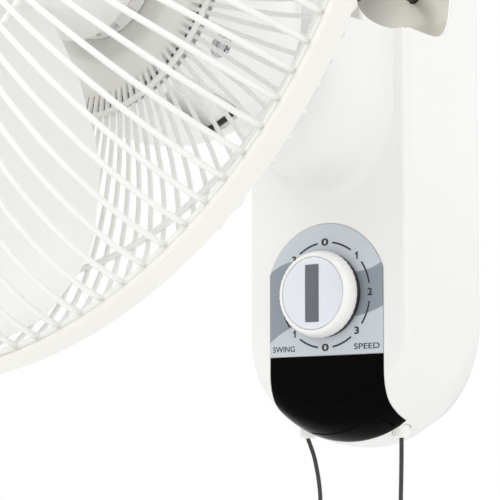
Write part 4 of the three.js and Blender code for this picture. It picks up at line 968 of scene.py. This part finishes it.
class FAN_OT_wall_side(Operator):
    """Wall bracket, back plate, its screws and the cable grommet"""
    bl_idname = "wall_fan.wall_side"
    bl_label = "Wall side"

    def execute(self, context):
        edge = column_outline(REAR_RIM_Y - FRONT_Y, WALL + GAP)
        plate = soften(prism("base_back_plate", "XZ", edge, -4.5, -1.9), 0.5, 2)
        cutters = [block("hook_slot", (x - 9, -10, 29), (x + 9, 1, 41)) for x in (HOOK_X, -HOOK_X)]
        cutters += [rod("screw_hole", "Y", 2.2, -10, 1, 0, z, 24) for z in PLATE_SCREWS_Z]
        cutters += [soften(block("air_slot", (-24, -10, z), (24, 1, z + 3)), 1.2, 3)
                    for z in (-82, -90, 78, 86, 94)]
        cutters.append(rod("grommet_hole", "Y", 6.3, -10, 1, 0, GROMMET_Z, 32))
        show(carve(plate, *cutters), "base", "cream_satin", "cream_plastic", "back_plate", degrees=30)
        w, h, c = 33, 60, 8
        bracket = prism("bracket", "XZ", [(w, -h + c), (w, h - c), (w - c, h), (-w + c, h), (-w, h - c),
                                          (-w, -h + c), (-w + c, -h), (w - c, -h)], -1.6, 0)
        hooks = []
        for x in (HOOK_X, -HOOK_X):
            hooks.append(block("hook", (x - 8, -7.5, 30), (x + 8, -0.5, 32)))
            hooks.append(block("hook_lip", (x - 8, -7.5, 30), (x + 8, -5.5, 39)))
        carve(bracket, *hooks, operation="UNION")
        carve(bracket, *[rod("bracket_hole", "Y", 2.6, -5, 5, x, z, 24) for x in (22, -22) for z in (48, -48)])
        show(soften(bracket, 0.35, 2), "base", "plated_steel", "zinc_steel", "wall_bracket", degrees=30)
        for index, z in enumerate(PLATE_SCREWS_Z, 1):
            screw = turned(f"plate_screw_{index}", [(0.01, -0.2), (2.4, -0.25), (3.3, -0.7), (3.6, -1.75),
                    (1.9, -1.75), (1.9, -12), (0.5, -14), (0.01, -14)], 40)
            carve(screw, *cross_tools("Y", 0.4, -1.1))
            show(screw, "base", "plated_steel", "zinc_steel", f"back_plate_screw_{index}", matrix=at(0, 0, z))
        grommet = turned("lead_grommet", [(3.4, -6.3), (3.9, -6.7), (8.4, -6.7), (9, -6.2), (9, -4.8),
                                          (6, -4.8), (6, -1.6), (8, -1.6), (8, -0.7), (7.5, -0.3), (3.8, -0.3),
                                          (3.4, -0.7)], 48)
        show(grommet, "base", "black_rubber", "black_rubber", "cable_grommet", matrix=at(0, 0, GROMMET_Z))
        return {"FINISHED"}


def cross_tools(axis, outer, depth, half=2.1, width=0.45):
    """Two blades that cut a cross recess into a screw head, from outer down to depth along an axis."""
    low, high = min(outer, depth), max(outer, depth)
    spans = {"Y": [((-half, low, -width), (half, high, width)), ((-width, low, -half), (width, high, half))],
             "X": [((low, -half, -width), (high, half, width)),
                   ((low, -width, -half), (high, width, half))]}[axis]
    return [block("recess", *span) for span in spans]


# ---------------------------------------------------------------- neck

class FAN_OT_neck(Operator):
    """Neck casting with its hinge pin and swing pin"""
    bl_idname = "wall_fan.neck"
    bl_label = "Neck"

    def execute(self, context):
        upper, lower = -AXIS_DROP + 13.3, -AXIS_DROP - 13.3
        top, bottom = upper + 5, lower - 5
        body = rod("neck_casting", "X", 12, -13, 13, 0, 0, 64)
        parts = [block("web", (-9, -30, -9), (9, 0, 9)), block("web", (-9, -30, -46), (9, -16, 9)),
                 block("web", (-9, -42, bottom), (9, -28, top)),
                 block("ear", (-9, -YAW_REACH, upper), (9, -40, top)),
                 block("ear", (-9, -YAW_REACH, bottom), (9, -40, lower)),
                 rod("ear", "Z", 12, upper, top, 0, -YAW_REACH, 64),
                 rod("ear", "Z", 12, bottom, lower, 0, -YAW_REACH, 64),
                 rod("link_boss", "Z", 5, bottom, lower, -11, -52, 40)]
        carve(body, *parts, operation="UNION")
        carve(body, rod("pin_bore", "X", HINGE_R + GAP, -20, 20, 0, 0, 48),
              rod("swing_bore", "Z", 5.3, -100, 20, 0, -YAW_REACH, 48),
              rod("link_bore", "Z", 2.3, -100, -AXIS_DROP, -11, -52, 24))
        soften(body, 0.8, 3, 40)
        show(body, "neck", "body_gloss", "white_gloss", "neck_bracket", matrix=NECK, degrees=40)
        pin = turned("tilt_pin", [(0.01, -32), (3.4, -32), (4, -31.4), (4, 33), (4.4, 33), (5, 33.5), (5, 35.5),
                                  (4.5, 36), (0.01, 36)], 48)
        spot = at(0, HINGE_Y, HINGE_Z) @ Y_TO_X
        show(carve(pin, *cross_tools("Y", 37, 34.8, 2.8, 0.6)), "base", "dark_steel", "dark_steel", "hinge_pin",
             matrix=spot)
        swing = turned("swing_pin", [(0.01, bottom - 1.2), (4.4, bottom - 1.2), (5, bottom - 0.6),
                                     (5, top + 0.3), (7.4, top + 0.3), (8, top + 0.8), (8, top + 3.2),
                                     (7.2, top + 4), (0.01, top + 4)], 48)
        stand = NECK @ at(0, -YAW_REACH, 0) @ Y_TO_Z
        show(swing, "neck", "plated_steel", "zinc_steel", "yaw_pin", matrix=stand)
        return {"FINISHED"}


# ---------------------------------------------------------------- motor

def cover_profile(inset, steps=8):
    """The cover's side wall: a rounded rear shoulder and a straight barrel, as (radius, y)."""
    knots = [(COVER_REAR_R - inset, -COVER_START - inset), (COVER_REAR_R + 7 - inset, -COVER_START - 7),
             (COVER_R - 3 - inset, -COVER_START - 26), (COVER_R - inset, -COVER_START - 48),
             (COVER_R - inset, -134)]
    points = smooth_route([(r, y, 0) for r, y in knots], steps)
    return [(min(p[0], COVER_R - inset), p[1]) for p in points]


class FAN_OT_motor_cover(Operator):
    """Motor cover with its air slots and screws"""
    bl_idname = "wall_fan.motor_cover"
    bl_label = "Motor cover"

    def execute(self, context):
        outer, inner = cover_profile(0), cover_profile(COVER_WALL)[::-1]
        cover = turned("cover_shell", [(34, -COVER_START), *outer, *inner, (34, -COVER_START - COVER_WALL)], 144)
        vent = soften(block("vent", (8, -127, -0.91 * COVER_R), (COVER_R, -72, -0.75 * COVER_R)), 3, 5)
        show(carve(cover, vent), "head", "body_gloss", "white_gloss", "motor_cover", matrix=HEAD, degrees=30)
        baffle = turned("vent_baffle", [(58.6, -74), (60.2, -74), (60.2, -121), (58.6, -121)], 24, 34, 76)
        show(baffle, "head", "body_plain", "white_gloss", "motor_cover", matrix=HEAD, degrees=30)
        for index in range(4):
            screw = turned(f"cover_pan_screw_{index + 1}", [(0.01, 71.8), (2.4, 71.7), (3.7, 71.0), (4.4, 69.7),
                    (4.4, 69.35), (5.7, 69.3), (6, 69.0), (6, 68.3), (0.01, 68.3)], 48)
            carve(screw, *cross_tools("Y", 72.5, 70.4, 2.5, 0.5))
            turn = HEAD @ Matrix.Rotation(math.radians(COVER_SCREW_TURN + 90 * index), 4, "Y")
            spot = turn @ at(0, -COVER_SCREW_Y, 0) @ Y_TO_X
            show(screw, "head", "plated_steel", "zinc_steel", f"cover_screw_{index + 1}", matrix=spot)
        return {"FINISHED"}


class FAN_OT_motor_shield(Operator):
    """Front shield of the motor"""
    bl_idname = "wall_fan.motor_shield"
    bl_label = "Motor shield"

    def execute(self, context):
        face, rear, bore, seat = -SHIELD_FACE, -SHIELD_FACE + 2.7, 5.2, 8.3
        shield = turned("front_shield", [(bore, face - 12), (13.4, face - 12), (14, face - 11.4), (14, face),
                                         (66.9, face), (67.5, face + 0.6), (67.5, rear), (45, rear), (45, -128),
                                         (42.8, -128), (42.8, rear), (seat, rear), (seat, face - 6),
                                         (bore, face - 6)], 112)
        show(shield, "head", "cast_alloy", "cast_alloy", "motor_shield", matrix=HEAD)
        return {"FINISHED"}


# ---------------------------------------------------------------- guard

BOWL_ROUNDING = 1 / 1.6


def bowl(radius, depth, power):
    """How far the guard reaches from the rim's plane at a radius."""
    share = min(1.0, max(0.0, radius / GUARD_WIRE_R))
    return RIM_HALF_GAP + (depth - RIM_HALF_GAP) * (1 - share ** power) ** BOWL_ROUNDING


def guard_line(side, start, depth, power, steps=13):
    """Points of one wire from the middle out to the rim, closer together near the rim."""
    line = []
    for k in range(steps + 1):
        t = k / steps
        radius = start + (GUARD_WIRE_R - start) * (1 - (1 - t) ** 1.9)
        line.append((radius, -RIM_REACH + side * bowl(radius, depth, power), 0))
    return line


REAR = {"side": 1, "depth": 84.77, "power": 2.6}
FRONT = {"side": -1, "depth": 75, "power": 4.5}


def wires_and_rings(name, half, start, rings, sizes, thick):
    """The wires of one guard half as one piece, its rings as another."""
    side, depth, power = half["side"], half["depth"], half["power"]
    radius, ring = sizes.wire_radius / MM * thick, sizes.ring_radius / MM
    spoke = wire(f"{name}_wires", guard_line(side, start, depth, power), radius, 8)
    repeated(spoke, sizes.wire_count)
    hoops = []
    for r in rings:
        hoops.append(hoop(r, ring, -RIM_REACH + side * (bowl(r, depth, power) - (radius + ring) * 0.8)))
    hoops.append(hoop(GUARD_WIRE_R, RIM_WIRE_R, -RIM_REACH + side * RIM_HALF_GAP, 180))
    return spoke, gathered(f"{name}_rings", hoops)


class FAN_OT_rear_guard(Operator):
    """Rear half of the guard with its plate"""
    bl_idname = "wall_fan.rear_guard"
    bl_label = "Rear guard"

    def execute(self, context):
        sizes = context.scene.fan_sizes
        spokes, rings = wires_and_rings("rear_guard", REAR, PLATE_R - 3, REAR_RINGS, sizes, 1.0)
        plate = turned("rear_guard_plate", from_y(-SHIELD_FACE - GAP,
                [(14.3, 0), (62, 0), (63, -0.4), (63, -1.2), (62, -1.6), (50, -1.6), (48.5, -2.4), (40, -2.4),
                    (38.5, -1.6), (14.3, -1.6)]), 112)
        show(plate, "head", "coated_wire", "coated_wire", "rear_guard", matrix=HEAD)
        for piece in (spokes, rings):
            show(piece, "head", "coated_wire", "coated_wire", "rear_guard", matrix=HEAD, degrees=70)
        return {"FINISHED"}


class FAN_OT_front_guard(Operator):
    """Front half of the guard with its centre badge"""
    bl_idname = "wall_fan.front_guard"
    bl_label = "Front guard"

    def execute(self, context):
        sizes = context.scene.fan_sizes
        spokes, rings = wires_and_rings("front_guard", FRONT, FRONT_RINGS[0], FRONT_RINGS, sizes, 1.15)
        for piece in (spokes, rings):
            show(piece, "head", "coated_wire", "coated_wire", "front_guard", matrix=HEAD, degrees=70)
        y = -RIM_REACH - bowl(BADGE_R, FRONT["depth"], FRONT["power"]) - RIM_WIRE_R - GAP
        badge = turned("front_badge", from_y(y, [(0.01, 0), (45.2, 0), (46, -0.6), (46, -2), (44.6, -3.1),
                    (42.5, -3.6), (41, -3.2), (39.5, -3.7), (38, -4.6), (28, -6), (14, -6.8), (0.01, -7)]), 112)
        show(badge, "head", "body_gloss", "white_gloss", "centre_badge", matrix=HEAD, degrees=25)
        return {"FINISHED"}


class FAN_OT_clamp_band(Operator):
    """Band that holds both guard halves together, with its screw"""
    bl_idname = "wall_fan.clamp_band"
    bl_label = "Clamp band"

    def execute(self, context):
        inner, mid = GUARD_WIRE_R + RIM_WIRE_R + 0.4, -RIM_REACH
        half = BAND_HALF
        profile = [(inner, mid - half + 0.5), (inner + 0.5, mid - half), (inner + 1.9, mid - half),
                   (inner + 2.5, mid - half + 0.7), (inner + 2.5, mid + half - 0.7), (inner + 1.9, mid + half),
                   (inner + 0.5, mid + half), (inner, mid + half - 0.5)]
        band = turned("clamp_band_ring", profile, 240)
        lugs = [block("lug", (x, mid - half + 1, -inner - 12), (x + 4, mid + half - 1, -inner - 1))
                for x in (-7, 3)]
        carve(band, *[soften(lug, 0.8, 3) for lug in lugs], operation="UNION")
        carve(band, block("band_gap", (-3, mid - 9, -inner - 14), (3, mid + 9, -inner + 2)),
              rod("lug_hole", "X", 2.3, -20, 20, mid, -inner - 8, 24))
        show(band, "head", "cream_satin", "cream_plastic", "clamp_band", matrix=HEAD, degrees=30)
        z = -inner - 8
        screw = turned("band_clamp_screw", [(0.01, -11), (1.6, -11), (2, -10.5), (2, 7.3), (3.2, 7.3),
                                            (3.6, 7.8), (3.5, 9), (2.6, 10), (0.01, 10)], 40)
        carve(screw, *cross_tools("Y", 10.5, 8.8, 2.2, 0.45))
        nut = turned("nut", [(2.0, -10.5), (3.4, -10.5), (3.4, -7.3), (2.0, -7.3)], 6)
        spot = HEAD @ at(0, mid, z) @ Y_TO_X
        show(gathered("band_clamp_screw", [screw, nut]), "head", "plated_steel", "zinc_steel", "band_screw",
             matrix=spot)
        return {"FINISHED"}


class FAN_OT_guard_nut(Operator):
    """Ring nut that holds the rear guard on the motor"""
    bl_idname = "wall_fan.guard_nut"
    bl_label = "Guard nut"

    def execute(self, context):
        y = -SHIELD_FACE - GAP - PLATE_SHEET - GAP
        nut = turned("rear_guard_nut", from_y(y, [(14.3, 0), (29.4, 0), (30, -0.6), (29.4, -1.6), (28, -6.4),
                    (27, -7), (14.9, -7), (14.3, -6.4)]), 96)
        grip = rod("grip", "Y", 1.7, y - 8, y - 1.5, 28.6, 0, 20)
        carve(nut, repeated(grip, 16))
        show(nut, "head", "body_plain", "white_gloss", "guard_nut", matrix=HEAD, degrees=35)
        return {"FINISHED"}


# ---------------------------------------------------------------- blades

# Radius, chord, pitch in degrees, sweep and thickness of a blade's sections
STATIONS = [(33, 52.4, 38, 0, 4), (69.8, 104.8, 33, 7.8, 3), (114.5, 151.3, 27, 15.5, 2.6),
            (159.1, 166.8, 20, 21.3, 2.4), (185.3, 128, 17, 25.2, 2.2), (194, 81.5, 16, 29.1, 2)]


def station(radius):
    """Chord, pitch, sweep and thickness at a radius, eased between the named ones."""
    for low, high in zip(STATIONS, STATIONS[1:]):
        if radius <= high[0]:
            t = (radius - low[0]) / (high[0] - low[0])
            return [a + (b - a) * t for a, b in zip(low[1:], high[1:])]
    return list(STATIONS[-1][1:])


def blade_section(radius, steps=10):
    """A cambered section of one blade, wrapped round the axis at a radius."""
    chord, pitch, sweep, thickness = station(radius)
    turn, middle = math.radians(pitch), -HUB_END + 7
    camber = 0.06 * chord
    points = []
    for side in (1, -1):
        for k in range(steps + 1)[::side]:
            u = k / steps - 0.5
            lift = camber * (1 - 4 * u * u) + side * thickness * 0.5 * (1 - 3.4 * u * u)
            along = u * chord + sweep
            tangent = along * math.cos(turn) - lift * math.sin(turn)
            axial = along * math.sin(turn) + lift * math.cos(turn) - sweep * math.sin(turn)
            angle = math.atan2(tangent, radius) + math.radians(BLADE_START)
            points.append((radius * math.cos(angle), middle + axial, radius * math.sin(angle)))
    return points


class FAN_OT_blades(Operator):
    """Three blades on their hub, and the spinner nut"""
    bl_idname = "wall_fan.blades"
    bl_label = "Blades"

    def execute(self, context):
        radii = [33, 44, 56, 70, 86, 102, 118, 134, 150, 162, 172, 180, 186, 190, 192.6, 194]
        blades = loft("blade_set", [blade_section(r) for r in radii])
        repeated(blades, BLADE_COUNT)
        show(blades, "rotor", "blade_satin", "blade_plastic", "fan_blades", matrix=HEAD, degrees=60)
        hub = turned("blade_hub", [(4.1, -HUB_START), (35, -HUB_START), (36, -HUB_START - 1),
                                   (36, -HUB_END + 9), (35.2, -HUB_END + 6), (33, -HUB_END + 2.6),
                                   (29.5, -HUB_END + 0.4), (26, -HUB_END), (4.1, -HUB_END)], 96)
        groove = block("groove", (-12, -HUB_START - 4, -2.4), (12, -HUB_START + 1, 2.4))
        show(carve(hub, groove), "rotor", "blade_satin", "blade_plastic", "fan_blades", matrix=HEAD)
        y, end = -HUB_END - GAP, -HUB_END - 9
        nut = turned("spinner_nut", [(4.2, y), (19.4, y), (20, y - 0.6), (19.4, y - 5), (17.4, y - 9),
                                     (13, y - 14), (7, y - 16.3), (0.01, y - 17), (0.01, end - GAP),
                                     (4.2, end - GAP)], 80)
        flute = rod("flute", "Y", 1.8, y - 12, y + 1, 20.4, 0, 20)
        show(carve(nut, repeated(flute, 12)), "rotor", "body_plain", "white_gloss", "spinner", matrix=HEAD,
             degrees=35)
        return {"FINISHED"}


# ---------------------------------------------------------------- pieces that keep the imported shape

KEPT = {"rotary_switch": "black_moulded", "swing_switch": "black_moulded",
        "swing_switch_carrier": "cream_satin", "lever_post": "cream_satin", "capacitor": "black_moulded",
        "terminal_block": "cream_satin", "oscillation_link": "plated_steel", "gearbox_case": "cast_alloy",
        "motor_rear_bell": "cast_alloy", "stator_core": "sheet_stack", "winding_rear": "winding",
        "winding_front": "winding", "front_bearing": "bronze", "rear_bearing": "bronze",
        "motor_shaft": "plated_steel", "rotor_core": "sheet_stack", "worm_wheel": "bronze",
        "crank": "plated_steel", "switch_spindle": "bronze", "speed_rod": "cream_satin",
        "swing_rod": "cream_satin", "speed_lever": "cream_satin"}


class FAN_OT_inner_pieces(Operator):
    """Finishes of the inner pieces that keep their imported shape"""
    bl_idname = "wall_fan.inner_pieces"
    bl_label = "Inner pieces"

    def execute(self, context):
        for name, finish in KEPT.items():
            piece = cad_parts[name]
            piece.data.materials.clear()
            piece.data.materials.append(FINISHES[finish])
        return {"FINISHED"}


# ---------------------------------------------------------------- stage

CAMERA_SPOT = Vector((0.531, -0.872, -0.1534))
CAMERA_AZIMUTH = 36.63
CAMERA_RISE = 4.5
CAMERA_LENS = 117.65
CAMERA_SHIFT = 0.154
FLOOR_Z = -0.42
LAMP_AIM_Y = -0.2
# Name, place, height that it aims at, size and power of each lamp
LAMPS = (("key", (-0.9, -1.9, 1.7), 0.05, 1.8, 23), ("fill", (1.9, -1.3, 0.5), 0.05, 2.2, 8),
         ("top", (0.2, -0.4, 2.0), 0.0, 1.8, 8), ("back", (0.8, 1.6, 1.0), 0.1, 1.6, 2))
AMBIENT = 0.86


class FAN_OT_stage(Operator):
    """Camera, floor, lamps and surroundings"""
    bl_idname = "wall_fan.stage"
    bl_label = "Stage"

    def execute(self, context):
        scene = context.scene
        scene.view_settings.view_transform = "Standard"
        bpy.ops.object.camera_add()
        camera = bpy.context.object
        turn, rise = math.radians(CAMERA_AZIMUTH), math.radians(CAMERA_RISE)
        ahead = Vector((-math.sin(turn) * math.cos(rise), math.cos(turn) * math.cos(rise), math.sin(rise)))
        camera.location = CAMERA_SPOT
        camera.rotation_euler = ahead.to_track_quat("-Z", "Y").to_euler()
        camera.data.sensor_width = 36
        camera.data.lens = CAMERA_LENS
        camera.data.shift_y = CAMERA_SHIFT
        camera.data.clip_start = 0.01
        scene.camera = camera
        bpy.ops.mesh.primitive_plane_add(size=8, location=(0, -0.3, FLOOR_Z))
        floor = fresh("floor")
        floor.data.materials.append(self.floor_finish())
        settle(floor)
        for name, spot, aim_z, size, power in LAMPS:
            bpy.ops.object.light_add(type="AREA", location=spot)
            lamp = bpy.context.object
            lamp.name = f"{name}_lamp"
            lamp.data.shape = "DISK"
            lamp.data.size = size
            lamp.data.energy = power
            aim = Vector((0, LAMP_AIM_Y, aim_z)) - Vector(spot)
            lamp.rotation_euler = aim.to_track_quat("-Z", "Y").to_euler()
        self.surroundings(scene)
        return {"FINISHED"}

    def floor_finish(self):
        """A pale matt finish."""
        material = bpy.data.materials.new("floor_pale")
        material.use_nodes = True
        shader = material.node_tree.nodes["Principled BSDF"]
        shader.inputs["Base Color"].default_value = (0.86, 0.86, 0.86, 1)
        shader.inputs["Roughness"].default_value = 0.8
        return material

    def surroundings(self, scene):
        """Even light from all round, which the camera and gloss see as white."""
        world = bpy.data.worlds.new("surroundings")
        scene.world = world
        world.use_nodes = True
        tree = world.node_tree
        tree.nodes.clear()
        light = node(tree, "ShaderNodeBackground", Color=(1, 1, 1, 1), Strength=AMBIENT)
        seen = node(tree, "ShaderNodeBackground", Color=(1, 1, 1, 1), Strength=1.0)
        path = tree.nodes.new("ShaderNodeLightPath")
        share = path.outputs["Is Camera Ray"]
        for ray in ("Is Glossy Ray", "Is Transmission Ray"):
            share = math_node(tree, "MAXIMUM", share, path.outputs[ray])
        blend = tree.nodes.new("ShaderNodeMixShader")
        tree.links.new(share, blend.inputs[0])
        tree.links.new(light.outputs[0], blend.inputs[1])
        tree.links.new(seen.outputs[0], blend.inputs[2])
        out = tree.nodes.new("ShaderNodeOutputWorld")
        tree.links.new(blend.outputs[0], out.inputs[0])


# ---------------------------------------------------------------- panel and running

STEPS = (FAN_OT_stage, FAN_OT_pull_cords, FAN_OT_housing, FAN_OT_lower_trim, FAN_OT_dial_label, FAN_OT_knob,
         FAN_OT_return_springs, FAN_OT_motor_lead, FAN_OT_wall_side, FAN_OT_neck, FAN_OT_motor_cover,
         FAN_OT_motor_shield, FAN_OT_rear_guard, FAN_OT_front_guard, FAN_OT_clamp_band, FAN_OT_guard_nut,
         FAN_OT_blades, FAN_OT_inner_pieces)


class FAN_PT_sidebar(Panel):
    """Lists the fan's pieces"""
    bl_idname = "FAN_PT_sidebar"
    bl_label = "Wall Fan"
    bl_space_type = "VIEW_3D"
    bl_region_type = "UI"
    bl_category = "Wall Fan"

    def draw(self, context):
        for group in (context.scene.fan_sizes, context.scene.fan_colours):
            for name in group.__annotations__:
                self.layout.prop(group, name)
        for step in STEPS:
            self.layout.operator(step.bl_idname)


def register():
    for made in (FanSizes, FanColours, *STEPS, FAN_PT_sidebar):
        bpy.utils.register_class(made)
    bpy.types.Scene.fan_sizes = PointerProperty(type=FanSizes)
    bpy.types.Scene.fan_colours = PointerProperty(type=FanColours)


def unregister():
    del bpy.types.Scene.fan_sizes
    del bpy.types.Scene.fan_colours
    for made in (FAN_PT_sidebar, *STEPS, FanColours, FanSizes):
        bpy.utils.unregister_class(made)


def main():
    register()
    make_finishes(bpy.context.scene.fan_colours)
    for step in STEPS:
        group, name = step.bl_idname.split(".")
        getattr(getattr(bpy.ops, group), name)()


if __name__ == "__main__":
    main()
